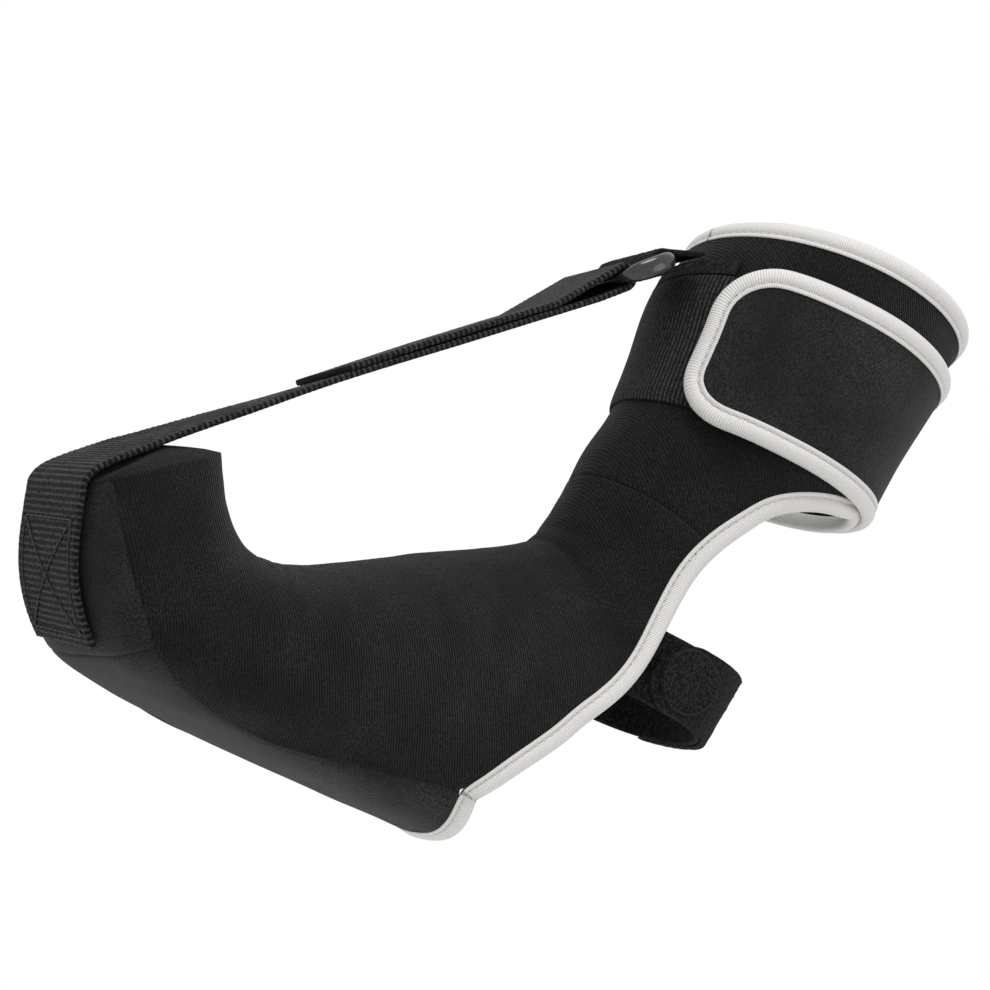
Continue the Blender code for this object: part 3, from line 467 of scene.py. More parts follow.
class Finish:
    """A Principled material and short ways to add nodes to it."""

    def __init__(self, name, roughness, specular=0.5):
        self.material = bpy.data.materials.new(name)
        self.material.use_nodes = True
        self.tree = self.material.node_tree
        self.shader = self.tree.nodes["Principled BSDF"]
        self.shader.inputs["Roughness"].default_value = roughness
        self.shader.inputs["Specular IOR Level"].default_value = specular
        self.flat = self.tree.nodes.new("ShaderNodeUVMap")
        self.flat.uv_map = "flat"
        self.place = self.tree.nodes.new("ShaderNodeTexCoord")

    def link(self, source, target):
        self.tree.links.new(source, target)

    def put(self, value, target):
        """A number or another node's output goes into an input."""
        if isinstance(value, (int, float)):
            target.default_value = value
        else:
            self.link(value, target)

    def math(self, operation, first, second=0.0, clamp=False):
        node = self.tree.nodes.new("ShaderNodeMath")
        node.operation = operation
        node.use_clamp = clamp
        self.put(first, node.inputs[0])
        self.put(second, node.inputs[1])
        return node.outputs[0]

    def noise(self, vector, size, detail=2.0, rough=0.5):
        node = self.tree.nodes.new("ShaderNodeTexNoise")
        self.link(vector, node.inputs["Vector"])
        node.inputs["Scale"].default_value = 1.0 / size
        node.inputs["Detail"].default_value = detail
        node.inputs["Roughness"].default_value = rough
        return node.outputs["Fac"]

    def cells(self, vector, size):
        node = self.tree.nodes.new("ShaderNodeTexVoronoi")
        self.link(vector, node.inputs["Vector"])
        node.inputs["Scale"].default_value = 1.0 / size
        return node.outputs["Distance"]

    def part(self, vector, axis):
        node = self.tree.nodes.new("ShaderNodeSeparateXYZ")
        self.link(vector, node.inputs[0])
        return node.outputs[axis]

    def along(self, direction):
        """Distance of a point along a fixed direction of the object, in millimetres."""
        node = self.tree.nodes.new("ShaderNodeVectorMath")
        node.operation = "DOT_PRODUCT"
        self.link(self.place.outputs["Object"], node.inputs[0])
        node.inputs[1].default_value = [1000 * value for value in direction]
        return node.outputs["Value"]

    def stripes(self, value, pitch, wobble=None, amount=0.0):
        """A wave from 0 to 1 that repeats every pitch."""
        phase = self.math("MULTIPLY", value, 2 * math.pi / pitch)
        if wobble is not None:
            phase = self.math("ADD", phase, self.math("MULTIPLY", wobble, amount))
        wave = self.math("SINE", phase)
        return self.math("MULTIPLY", self.math("ADD", wave, 1.0), 0.5)

    def span(self, value, low, high):
        """value stretched so that low becomes 0 and high becomes 1, kept between them."""
        node = self.tree.nodes.new("ShaderNodeMapRange")
        self.link(value, node.inputs["Value"])
        node.inputs["From Min"].default_value = low
        node.inputs["From Max"].default_value = high
        return node.outputs["Result"]

    def colours(self, share, dark, light):
        node = self.tree.nodes.new("ShaderNodeMix")
        node.data_type = "RGBA"
        self.put(share, node.inputs["Factor"])
        node.inputs[6].default_value = (*dark, 1.0)
        node.inputs[7].default_value = (*light, 1.0)
        self.link(node.outputs[2], self.shader.inputs["Base Color"])

    def relief(self, height, depth):
        node = self.tree.nodes.new("ShaderNodeBump")
        node.inputs["Strength"].default_value = 1.0
        node.inputs["Distance"].default_value = depth
        self.link(height, node.inputs["Height"])
        self.link(node.outputs["Normal"], self.shader.inputs["Normal"])

    def sheen(self, weight, roughness, tint):
        self.shader.inputs["Sheen Weight"].default_value = weight
        self.shader.inputs["Sheen Roughness"].default_value = roughness
        self.shader.inputs["Sheen Tint"].default_value = (*tint, 1.0)


KNIT_GRAIN = (0.0, 0.86, 0.51)


def knit_finish():
    """Black stretch knit with fine wales that run up the splint's side."""
    finish = Finish("knit_cloth", 0.85, 0.07)
    place = finish.place.outputs["Object"]
    drift = finish.noise(place, 0.006, 2.0)
    wales = finish.stripes(finish.along(KNIT_GRAIN), 0.95, drift, 5.0)
    yarn = finish.noise(place, 0.00075, 3.0, 0.7)
    broad = finish.noise(place, 0.020, 3.0)
    height = finish.math("ADD", finish.math("MULTIPLY", wales, 0.70), yarn)
    finish.relief(height, 0.00036)
    tone = finish.math("MULTIPLY", finish.span(yarn, 0.42, 0.72), finish.span(broad, 0.15, 0.75))
    # The wales lighten the colour on their raised crests: painted highlight on the crests and painted shade
    # between them, following the relief, over the random tone of the yarn and broad mottling.
    tone = finish.math("ADD", tone, finish.math("MULTIPLY", wales, 0.22), True)
    finish.colours(tone, (0.0025, 0.0025, 0.0030), (0.024, 0.024, 0.026))
    finish.sheen(0.085, 0.38, (0.92, 0.92, 0.95))
    return finish.material


def smooth_cloth_finish(name, dark, light, depth):
    """Smooth laminated cloth with a fine speckle."""
    finish = Finish(name, 0.80, 0.10)
    place = finish.place.outputs["Object"]
    grain = finish.noise(place, 0.00070, 3.0, 0.75)
    broad = finish.noise(place, 0.024, 3.0)
    finish.relief(grain, depth)
    tone = finish.math("MULTIPLY", finish.span(grain, 0.40, 0.70), finish.span(broad, 0.10, 0.80))
    finish.colours(tone, dark, light)
    finish.sheen(0.085, 0.38, (0.92, 0.92, 0.95))
    return finish.material


def webbing_finish(name, axis, pitch):
    """Looped webbing: ribs of yarn across it, each rib broken into loops."""
    finish = Finish(name, 0.80, 0.12)
    flat = finish.flat.outputs["UV"]
    drift = finish.noise(flat, 3.0, 2.0)
    ribs = finish.stripes(finish.part(flat, axis), pitch, drift, 1.2)
    loops = finish.cells(flat, 0.95)
    fibres = finish.noise(flat, 0.34, 3.0, 0.75)
    height = finish.math("ADD", finish.math("MULTIPLY", ribs, 0.9), finish.math("MULTIPLY", loops, -0.9))
    height = finish.math("ADD", height, finish.math("MULTIPLY", fibres, 0.8))
    finish.relief(height, 0.00055)
    # The colour follows the relief's height: painted highlight on the rib crests and painted shade in the
    # hollows between the loops, times the fibres' random tone.
    tone = finish.math("MULTIPLY", finish.span(height, 0.30, 1.20), finish.span(fibres, 0.30, 0.68))
    finish.colours(tone, (0.0030, 0.0030, 0.0034), (0.120, 0.120, 0.124))
    finish.sheen(0.04, 0.4, (0.9, 0.9, 0.95))
    return finish.material


def pile_finish():
    """Matte loop pile with a fuzzy, curly surface."""
    finish = Finish("loop_pile", 0.95, 0.05)
    place = finish.place.outputs["Object"]
    curls = finish.cells(place, 0.00115)
    fibres = finish.noise(place, 0.00042, 3.0, 0.8)
    height = finish.math("ADD", finish.math("MULTIPLY", curls, -0.8), fibres)
    finish.relief(height, 0.00070)
    # The colour is lighter on the raised curls and darker between them: painted highlight and painted shade
    # that follow the relief, times the fibres' random tone.
    tone = finish.math("MULTIPLY", finish.span(fibres, 0.38, 0.68), finish.span(curls, 0.70, 0.10))
    finish.colours(tone, (0.0025, 0.0025, 0.0028), (0.048, 0.048, 0.050))
    finish.sheen(0.05, 0.5, (0.9, 0.9, 0.95))
    return finish.material


def binding_finish():
    """Light grey satin binding with fine cross ribs."""
    finish = Finish("edge_binding", 0.50, 0.30)
    flat = finish.flat.outputs["UV"]
    drift = finish.noise(flat, 2.5, 2.0)
    ribs = finish.stripes(finish.part(flat, 0), 0.80, drift, 1.6)
    fibres = finish.noise(flat, 0.25, 3.0, 0.7)
    height = finish.math("ADD", ribs, finish.math("MULTIPLY", fibres, 0.6))
    finish.relief(height, 0.00018)
    # The colour darkens in the valleys between the cross ribs and lightens on their crests: painted shade and
    # painted highlight that follow the relief, times the fibres' random tone.
    tone = finish.math("MULTIPLY", finish.span(ribs, -0.6, 1.0), finish.span(fibres, -0.2, 0.8))
    finish.colours(tone, (0.42, 0.409, 0.394), (0.72, 0.703, 0.678))
    finish.sheen(0.05, 0.3, (1.0, 1.0, 1.0))
    return finish.material


def moulded_finish():
    finish = Finish("moulded_ring", 0.16, 0.5)
    grain = finish.noise(finish.place.outputs["Object"], 0.0018, 2.0)
    finish.relief(grain, 0.00004)
    finish.colours(finish.span(grain, 0.3, 0.7), (0.012, 0.012, 0.013), (0.022, 0.022, 0.023))
    return finish.material


def thread_finish(name, colour):
    finish = Finish(name, 0.6, 0.4)
    grain = finish.noise(finish.place.outputs["Object"], 0.0003, 2.0)
    lighter = [min(1.0, 1.4 * value) for value in colour]
    finish.colours(grain, colour, lighter)
    return finish.material


# The cloth panels

def seam_dip(distance):
    """How deep the cloth lies at a distance from its sewn edge."""
    return -SEAM_DIP * max(0.0, 1 - distance / SEAM_SOFT) ** 2


def ankle_seam_station(angle):
    return ANKLE_SEAM_FRONT - ANKLE_SEAM_DROP * min(abs(angle) / ANKLE_SEAM_SIDE, 1.2) ** 2


def sleeve_edge(station):
    return read_table(SOLE_SEAM, station) if station <= SOLE_END else read_table(HEEL_EDGE, station)


def soft_creases(station, angle, point):
    """Low folds and unevenness of the sleeve's cloth."""
    wave = 0.00035 * uneven(point, 0.016) + 0.0002 * uneven(point, 0.007)
    crease = 0.0
    for place, width, depth in ((2.55, 0.16, 0.0006), (3.05, 0.14, 0.0007), (3.45, 0.18, 0.0005),
                                (9.7, 0.30, 0.0005), (10.6, 0.26, 0.0005)):
        across = station - place - 0.004 * angle
        fade = math.exp(-(angle / 62.0) ** 2)
        crease -= depth * fade * math.exp(-(across / width) ** 2)
    return wave + crease


def toe_end_point(fraction, share):
    """A point of the wall that closes the toes' end: from the rim (share 0) to its lower side."""
    edge = sleeve_edge(0.0)
    way = math.copysign(1.0, fraction)
    rim = form_point(0.0, fraction * edge)
    low = form_point(0.0, way * (180.0 - (180.0 - TOE_WALL_CORNER) * abs(fraction)))
    point = (1 - share) * rim + share * low
    for sign in (-1.0, 1.0):
        weight = (1 + sign * fraction) / 2
        side = form_point(0.0, sign * (edge + share * (TOE_WALL_CORNER - edge)))
        straight = (1 - share) * form_point(0.0, sign * edge)
        straight = straight + share * form_point(0.0, sign * TOE_WALL_CORNER)
        point = point + weight * (side - straight)
    forward = form_point(0.0, 0.0) - form_point(0.6, 0.0)
    rise = min(share / TOE_WALL_CREST, 1.0) ** 0.8 * min((1 - share) / (1 - TOE_WALL_CREST), 1.0)
    dome = TOE_WALL_DOME * rise * (1 - fraction ** 2)
    return point + dome * forward / np.linalg.norm(forward)


SLEEVE_TOE_SHARE = 0.10


def sleeve_surface(row, column):
    fraction = 2 * column - 1
    if row < SLEEVE_TOE_SHARE:
        return toe_end_point(fraction, 1 - row / SLEEVE_TOE_SHARE)
    share = (row - SLEEVE_TOE_SHARE) / (1 - SLEEVE_TOE_SHARE)
    end = ankle_seam_station(fraction * ANKLE_SEAM_SIDE)
    end -= station_for(end, 0.0, SEAM / 2)
    station = end * share
    edge = sleeve_edge(station)
    angle = fraction * edge
    point = form_point(station, angle)
    from_edge = (1 - abs(fraction)) * edge / angle_for(station, angle, 1.0)
    from_seam = (end - station) / station_for(station, 0.0, 1.0)
    lip = 0.0
    if 3.6 < station < SOLE_END:
        raised = smooth_step(3.6, 5.2, station)
        lip = 0.0010 * raised * max(0.0, 1 - from_edge / 0.006) ** 2
    elif station <= 3.6:
        lip = seam_dip(from_edge)
    lift = soft_creases(station, angle, point) + lip + seam_dip(from_seam)
    return point + lift * form_normal(station, angle)


def sole_end_station(angle):
    edge = SOLE_SEAM[-1][1]
    reach = SOLE_END_PEAK - edge if angle < SOLE_END_PEAK else 360.0 - edge - SOLE_END_PEAK
    return SOLE_END + SOLE_END_BULGE * max(1 - abs(SOLE_END_PEAK - angle) / reach, 0.0) ** 0.9


def sole_surface(start, end, bulge):
    """The cloth between the two seams, from one station to another."""
    rough_edge = SOLE_SEAM[-1][1]

    def surface(row, column):
        fraction = 2 * column - 1
        station = start + (end - start) * row
        edge = read_table(SOLE_SEAM, station)
        edge += angle_for(station, edge, SEAM)
        tail = sole_end_station(180.0 + fraction * (180.0 - rough_edge)) - SOLE_END
        placed = station + bulge * row * tail
        angle = 180.0 + fraction * (180.0 - edge)
        point = form_point(placed, angle)
        from_edge = (1 - abs(fraction)) * (180.0 - edge) / angle_for(placed, angle, 1.0)
        from_fold = abs(station - TOE_FOLD) / station_for(station, 180.0, 1.0)
        sunk = -0.0007 * smooth_step(3.6, 5.2, station) * max(0.0, 1 - from_edge / 0.005)
        lift = seam_dip(from_edge) + seam_dip(from_fold) + sunk + 0.0003 * uneven(point, 0.018)
        return point + lift * form_normal(placed, angle)

    return surface


def ankle_surface(row, column):
    fraction = 2 * column - 1
    start = ankle_seam_station(fraction * ANKLE_SEAM_SIDE)
    start += station_for(start, 0.0, SEAM / 2)
    end = CUFF_SEAM - station_for(CUFF_SEAM, 0.0, SEAM / 2)
    station = start + (end - start) * row
    angle = fraction * read_table(HEEL_EDGE, station)
    point = form_point(station, angle)
    size = station_for(station, 0.0, 1.0)
    lift = seam_dip((station - start) / size) + 0.0003 * uneven(point, 0.015)
    return point + lift * form_normal(station, angle)


def cuff_surface(row, column):
    start = CUFF_SEAM + station_for(CUFF_SEAM, 0.0, SEAM / 2)
    station = start + (CUFF_EDGE - start) * row
    angle = 360.0 * column
    point = form_point(station, angle)
    return point + 0.0003 * uneven(point, 0.018) * form_normal(station, angle)


def flap_outline_station(angle, edge):
    middle = (FLAP_LOW + FLAP_HIGH) / 2
    half = (FLAP_HIGH - FLAP_LOW) / 2
    ahead = max(0.0, FLAP_FRONT + FLAP_CORNER_DEGREES - angle) / FLAP_CORNER_DEGREES
    inset = FLAP_CORNER * (1 - math.sqrt(max(0.0, 1 - min(ahead, 1.0) ** 2)))
    return middle + edge * (half - inset)


def flap_angles(corner_count, count):
    turns = [math.pi / 2 * step / corner_count for step in range(corner_count)]
    front = [FLAP_FRONT + FLAP_CORNER_DEGREES * (1 - math.cos(turn)) for turn in turns]
    return front + list(np.linspace(FLAP_FRONT + FLAP_CORNER_DEGREES, FLAP_ROOT, count))


def flap_lift(angle):
    """Height of the flap's outer face over the cuff: it rides over the loop band at its front."""
    away = smooth_step(LOOP_BAND_NEAR + 4.0, LOOP_BAND_NEAR + 30.0, angle)
    return FLAP_LIFT + CLOTH + FLAP_RISE * (1 - away)


def flap_surface(row, angle):
    low = flap_outline_station(angle, -1)
    high = flap_outline_station(angle, 1)
    station = low + (high - low) * row
    point = form_point(station, angle)
    return point + (flap_lift(angle) + 0.00035 * uneven(point, 0.02)) * form_normal(station, angle)


def loop_band_surface(row, column):
    station = LOOP_BAND_LOW + (LOOP_BAND_HIGH - LOOP_BAND_LOW) * row
    angle = LOOP_BAND_FAR + (LOOP_BAND_NEAR - LOOP_BAND_FAR) * column
    sewn = math.exp(-row / LOOP_BAND_SEWN)
    lift = (2 * CLEARANCE + LOOP_BAND_THICKNESS) * (1 - 0.55 * sewn)
    return lifted(station, angle, lift + 0.0002 * uneven(form_point(station, angle), 0.012))


def tab_strip_surface(row, column):
    low = LOOP_BAND_HIGH + station_for(LOOP_BAND_HIGH, 0.0, 0.0006)
    station = low + (TAB_STRIP_HIGH - low) * row
    half = section_at(station)[4]
    limit = math.degrees(math.asin(STRAP_WIDTH * 0.56 / half))
    angle = limit * (2 * column - 1)
    point = form_point(station, angle)
    lift = 1.6 * CLEARANCE + TAB_THICKNESS + 0.0004 * uneven(point, 0.002)
    return point + lift * form_normal(station, angle)


# Bindings

def heel_edge_line():
    """Station and angle of each point of the open heel's edge, with a point just inside."""
    line = []
    for station in np.linspace(HEEL_EDGE[0][0], HEEL_EDGE[-1][0], 90):
        angle = read_table(HEEL_EDGE, station)
        line.append((station, angle, station, angle - 2.0))
    for angle in np.linspace(HEEL_EDGE[-1][1] + 6.0, 180.0, 20):
        line.append((CUFF_SEAM, angle, CUFF_SEAM + 0.1, angle))
    back = [(station, 360.0 - angle, inner, 360.0 - inner_angle)
            for station, angle, inner, inner_angle in reversed(line[:-1])]
    first_angle = HEEL_EDGE[0][1]
    sole_end = [(sole_end_station(angle), angle, sole_end_station(angle) - 0.1, angle)
                for angle in np.linspace(360.0 - first_angle, first_angle, 62)[1:-1]]
    return line + back + sole_end


def cuff_edge_line():
    return [(CUFF_EDGE, 360.0 * step / 120, CUFF_EDGE - 0.05, 360.0 * step / 120) for step in range(120)]


def flap_edge_line():
    line = []
    angles = flap_angles(8, 50)
    for angle in reversed(angles):
        station = flap_outline_station(angle, -1)
        line.append((station, angle, station + 0.1, angle))
    low = flap_outline_station(FLAP_FRONT, -1)
    high = flap_outline_station(FLAP_FRONT, 1)
    for step in range(1, 12):
        station = low + (high - low) * step / 12
        line.append((station, FLAP_FRONT, station, FLAP_FRONT + 3.0))
    for angle in angles:
        station = flap_outline_station(angle, 1)
        line.append((station, angle, station - 0.1, angle))
    return line


def binding_frames(line, lift, closed, rounding):
    """Places along a cloth's edge with their outward and up directions, in equal short steps."""
    edges = [lifted(station, angle, lift(angle)) for station, angle, _, _ in line]
    inners = [lifted(station, angle, lift(angle)) for _, _, station, angle in line]
    normals = [form_normal(station, angle) for station, angle, _, _ in line]
    length = path_lengths(np.array(edges))[-1]
    count = int(length / 0.0016)
    fine = resampled(np.hstack([edges, inners, normals]), count, closed)
    for _ in range(rounding):
        fine = (np.roll(fine, 1, axis=0) + 2 * fine + np.roll(fine, -1, axis=0)) / 4
    places, insides, ups = fine[:, 0:3], fine[:, 3:6], fine[:, 6:9]
    across, up = path_frames(places, ups, closed)
    outward = []
    for row in range(count):
        way = 1.0 if np.dot(across[row], places[row] - insides[row]) > 0 else -1.0
        outward.append(way * across[row])
    return places, np.array(outward), np.array(up)


def add_binding(name, line, material, thread, lift=lambda angle: 0.0, closed=False, rounding=0):
    places, outward, up = binding_frames(line, lift, closed, rounding)
    rings, flat = [], []
    reach = path_lengths(places)
    girth = path_lengths(np.array(BINDING_SECTION))
    for row in range(len(places)):
        middle = places[row] - CLOTH / 2 * up[row]
        swell = 1 + 0.03 * uneven(places[row], 0.006)
        ring = []
        for side, (past, height) in enumerate(BINDING_SECTION):
            ring.append(middle + past / 1000 * outward[row] + swell * height / 1000 * up[row])
            flat.append((1000 * reach[row], girth[side]))
        rings.append(ring)
    made = add_loft(name, rings, material, closed, flat)
    stitches = []
    step = 2
    for row in range(0, len(places) - step, step):
        ends = []
        for share, height in ((0.15, 0.0010), (0.35, 0.00165), (0.65, 0.00165), (0.85, 0.0010)):
            here = row + share * step
            low = int(here)
            part = here - low
            base = (1 - part) * places[low] + part * places[low + 1]
            ends.append(base + 0.00132 * outward[low] + (height - CLOTH / 2) * up[low])
        stitches.append(ends)
    threads = add_tubes(name + "_stitches", stitches, 0.00022, thread)
    return made, threads


def seam_paths():
    """The dark sewing threads that lie deep in the seams between the panels."""
    side = np.linspace(-1.0, 1.0, 120)
    ankle = [(ankle_seam_station(ANKLE_SEAM_SIDE * share), ANKLE_SEAM_SIDE * share) for share in side]
    cuff = [(CUFF_SEAM, 360.0 * step / 160) for step in range(161)]
    fold_edge = read_table(SOLE_SEAM, TOE_FOLD)
    fold = [(TOE_FOLD, 180.0 + share * (180.0 - fold_edge)) for share in side]
    seams = [ankle, cuff, fold]
    for way in (1.0, -1.0):
        seams.append([(station, way * read_table(SOLE_SEAM, station))
                      for station in np.linspace(0.06, SOLE_END + 0.02, 200)])
    return [[lifted(station, angle, -SEAM_THREAD_DEPTH) for station, angle in seam] for seam in seams]


# Straps and fittings

def strap_directions(share):
    """Across, along and up of the toe strap at a share of its straight run."""
    along = np.array([0.0, -RING_AHEAD, RING_HEIGHT]) - form_point(0.0, 180.0)
    along = along / np.linalg.norm(along)
    twist = math.radians(read_table(STRAP_TWISTS, share))
    level = np.array([0.0, -along[2], along[1]])
    across = math.cos(twist) * np.array([1.0, 0.0, 0.0]) - math.sin(twist) * level
    return across, along, np.cross(across, along)


def ring_place():
    """The ring's middle, in front of the shin, and its directions across, along and up."""
    return np.array([0.0, -RING_AHEAD, RING_HEIGHT]), *strap_directions(1.0)


def ring_outline(half_long, half_short, count):
    straight = STRAP_WIDTH / 2 + 2 * CLEARANCE
    end = half_long - straight
    points = []
    for way in (1.0, -1.0):
        for step in range(17):
            turn = way * math.pi / 2 * (step / 8 - 1)
            points.append((way * (straight + end * math.cos(turn)), half_short * math.sin(turn), 0.0))
    return resampled(points, count, closed=True)[:, :2]


def add_ring(material):
    """A moulded link whose ends are thicker than its bars, so that they look like lenses."""
    centre, side, along, up = ring_place()
    half_long = (RING_LENGTH - RING_BAR) / 2
    outline = ring_outline(half_long, (RING_BREADTH - RING_BAR) / 2, 160)
    places = np.array([centre + x * side + y * along for x, y in outline])
    across, ups = path_frames(places, [up] * len(places), closed=True)
    rings = []
    for row, (x, _) in enumerate(outline):
        end = smooth_step(STRAP_WIDTH / 2, half_long, abs(x))
        height = RING_BAR * 0.85 * (1 - end) + RING_END_HEIGHT * end
        width = RING_BAR * (1 - 0.12 * end)
        ring = []
        for step in range(24):
            turn = 2 * math.pi * (step + 0.5) / 24
            out, rise = math.cos(turn), math.sin(turn)
            power = 2 / 2.3
            ring.append(places[row] + math.copysign(abs(out) ** power, out) * width / 2 * across[row]
                        + math.copysign(abs(rise) ** power, rise) * height / 2 * ups[row])
        rings.append(ring)
    return add_loft("ring_moulding", rings, material, closed=True)


def strap_route():
    """The toe strap's centres, each with its share of the twist: up the toe panel from its fold,
    over the toes' end, straight to the ring, round its outer bar, and back on top of itself."""
    lift = 2 * CLEARANCE + STRAP_THICKNESS / 2
    lower = []
    for share in np.linspace(0.0, 1.0, 8):
        station = STRAP_SEWN_FROM + (STRAP_CORNER - STRAP_SEWN_FROM) * share
        lower.append(lifted(station, 180.0, lift + STRAP_BULGE * math.sin(0.75 * math.pi * share)))
    centre, _, along, up = ring_place()
    bar = centre - along * (RING_BREADTH - RING_BAR) / 2
    turn_radius = RING_BAR / 2 + 2 * CLEARANCE + STRAP_THICKNESS / 2
    corner = form_point(0.0, 180.0)
    back_way = form_point(0.0, 0.0) - corner
    back_way = back_way / np.linalg.norm(back_way)
    out_way = np.array([0.0, -back_way[2], back_way[1]])
    bend = [corner + back * back_way + out * out_way for back, out in STRAP_TURN]
    run_start = bend[-1]
    run_end = bar - up * turn_radius - along * 0.012
    flat = smooth_path(lower + bend, 8)
    last = len(flat) - 1
    route = [(point, STRAP_TWISTS[0][0] * (1 - row / last) ** 0.6) for row, point in enumerate(flat)]
    run_length = np.linalg.norm(run_end - run_start)
    for share in np.linspace(0.05, 1.0, 20):
        route.append((run_start + share * (run_end - run_start), share))
    for angle in np.linspace(0.0, math.pi * 0.86, 14):
        route.append((bar + turn_radius * (math.sin(angle) * along - math.cos(angle) * up), 1.0))
    spacing = STRAP_THICKNESS + LAYER_GAP
    for distance in np.linspace(0.016, RETURN_LENGTH, 16):
        share = 1 - distance / run_length
        bulge = 0.0004 * math.sin(math.pi * distance / RETURN_LENGTH)
        _, _, rise = strap_directions(share)
        route.append((run_start + share * (run_end - run_start) + (spacing + bulge) * rise, share))
    return route


def ribbon_ring(place, side, rise, width, thickness, top_relief, columns=34):
    """A flat ribbon's section with round edges. top_relief gives the outer face's height at each
    place across it."""
    ring = []
    half = width / 2 - thickness / 2
    for step in range(columns + 1):
        x = half * (2 * step / columns - 1)
        ring.append(place + x * side + (thickness / 2 + top_relief(x)) * rise)
    for turn in (0.30, 0.0, -0.30):
        out, high = thickness / 2 * math.cos(math.pi * turn), thickness / 2 * math.sin(math.pi * turn)
        ring.append(place + (half + out) * side + high * rise)
    for step in range(columns, -1, -2):
        x = half * (2 * step / columns - 1)
        ring.append(place + x * side + (-thickness / 2 - 0.4 * top_relief(x)) * rise)
    for turn in (-0.30, 0.0, 0.30):
        out, high = thickness / 2 * math.cos(math.pi * turn), thickness / 2 * math.sin(math.pi * turn)
        ring.append(place - (half + out) * side + high * rise)
    return ring


STITCH_BOX = 0.036
STITCH_START = 0.004
STITCH_LENGTH = 0.0034
STITCH_INSET = 0.004


def box_stitch_lines():
    """The sewn box and its cross near the strap's lower end, each from one (distance, x) to another."""
    half = STRAP_WIDTH / 2 - STITCH_INSET
    near, far = STITCH_START, STITCH_START + STITCH_BOX
    return (((near, -half), (near, half)), ((far, -half), (far, half)),
            ((near, -half), (far, -half)), ((near, half), (far, half)),
            ((near, -half), (far, half)), ((near, half), (far, -half)))


def near_box_stitch(distance, x):
    """How far a place on the strap is pulled down by the box's threads, from 0 to 1."""
    pull = 0.0
    for (first, first_x), (last, last_x) in box_stitch_lines():
        way = np.array([last - first, last_x - first_x])
        length = np.linalg.norm(way)
        share = np.dot([distance - first, x - first_x], way) / length ** 2
        share = min(max(share, 0.0), 1.0)
        gap = math.hypot(distance - first - share * way[0], x - first_x - share * way[1])
        pull = max(pull, 1 - gap / 0.0016)
    return pull


def box_stitches(face):
    """Short threads along the box and its cross. face gives the strap's outer face at a place."""
    stitches = []
    for (first, first_x), (last, last_x) in box_stitch_lines():
        count = max(2, round(math.hypot(last - first, last_x - first_x) / STITCH_LENGTH))
        for step in range(count):
            stitch = []
            for share, height in ((0.08, -0.0003), (0.30, 0.0002), (0.70, 0.0002), (0.92, -0.0003)):
                part = (step + share) / count
                distance = first + part * (last - first)
                stitch.append(face(distance, first_x + part * (last_x - first_x), height))
            stitches.append(stitch)
    return stitches


def add_toe_strap(material, thread):
    route = strap_route()
    rows = resampled([np.append(place, share) for place, share in route], 1100)
    places = rows[:, :3]
    reach = path_lengths(places)
    rings, flat, sides, rises = [], [], [], []
    for row in range(len(places)):
        across = strap_directions(rows[row, 3])[0]
        tangent = places[min(row + 1, len(places) - 1)] - places[max(row - 1, 0)]
        rise = np.cross(across, tangent)
        rise = rise / np.linalg.norm(rise)
        sides.append(across)
        rises.append(rise)
        distance = reach[row]
        sewn_row = distance < STITCH_START + STITCH_BOX + 0.002
        fraying = 0.0006 * uneven((distance * 9, 0.3, 0.0), 0.01)

        def relief(x):
            wobble = 0.35 * uneven((x, distance, 0.0), 0.004) + 0.5 * uneven((x, distance, 0.5), 0.02)
            rib = 0.5 + 0.5 * math.cos(2 * math.pi * (distance / STRAP_RIB + wobble))
            loops = 0.5 + 0.5 * uneven((x, distance, 1.0), 0.0013)
            sewn = near_box_stitch(distance, x) if sewn_row else 0.0
            return 0.00030 * (rib * (0.25 + 0.90 * loops) - 0.5) - 0.0005 * max(sewn, 0.0)

        ring = ribbon_ring(places[row], across, rise, STRAP_WIDTH + fraying, STRAP_THICKNESS, relief)
        rings.append(ring)
        girth = path_lengths(np.array(ring))
        flat += [(1000 * distance, 1000 * girth[side]) for side in range(len(ring))]

    def face(distance, x, height):
        row = int(np.searchsorted(reach, distance))
        return places[row] + x * sides[row] + (STRAP_THICKNESS / 2 + height) * rises[row]

    made = add_loft("strap_webbing", rings, material, flat=flat)
    return made, add_tubes("strap_stitches", box_stitches(face), 0.00028, thread)


def add_ring_tab(material):
    """A short fold of tape from the shin round the ring's inner bar."""
    centre, side, along, _ = ring_place()
    bar = centre + along * (RING_BREADTH - RING_BAR) / 2
    radius = 0.62 * RING_BAR + CLEARANCE + TAB_THICKNESS / 2
    lift = 4 * CLEARANCE + 2.4 * TAB_THICKNESS
    root = lifted(LOOP_BAND_HIGH + TAB_ROOT, 0.0, lift)
    way = root - bar
    way[0] = 0.0
    way = way / np.linalg.norm(way)
    up = np.array([0.0, -way[2], way[1]])
    pinch = 0.55 * TAB_THICKNESS + CLEARANCE
    turn = [bar + radius * (-math.sin(angle) * way - math.cos(angle) * up)
            for angle in np.linspace(0.0, math.pi, 16)]
    low_root = root - pinch * up
    high_root = root + pinch * up
    low_middle = 0.45 * low_root + 0.55 * turn[0]
    high_middle = 0.45 * high_root + 0.55 * turn[-1]
    route = [low_root, low_middle] + turn + [high_middle, high_root]
    places = resampled(route, 120)
    rings = []
    for row in range(len(places)):
        tangent = places[min(row + 1, len(places) - 1)] - places[max(row - 1, 0)]
        rise = np.cross(side, tangent)
        rise = rise / np.linalg.norm(rise)

        def relief(x):
            return 0.0003 * uneven(places[row] + x * side, 0.0014)

        rings.append(ribbon_ring(places[row], side, rise, STRAP_WIDTH * 0.9, TAB_THICKNESS, relief))
    return add_loft("ring_tape", rings, material)


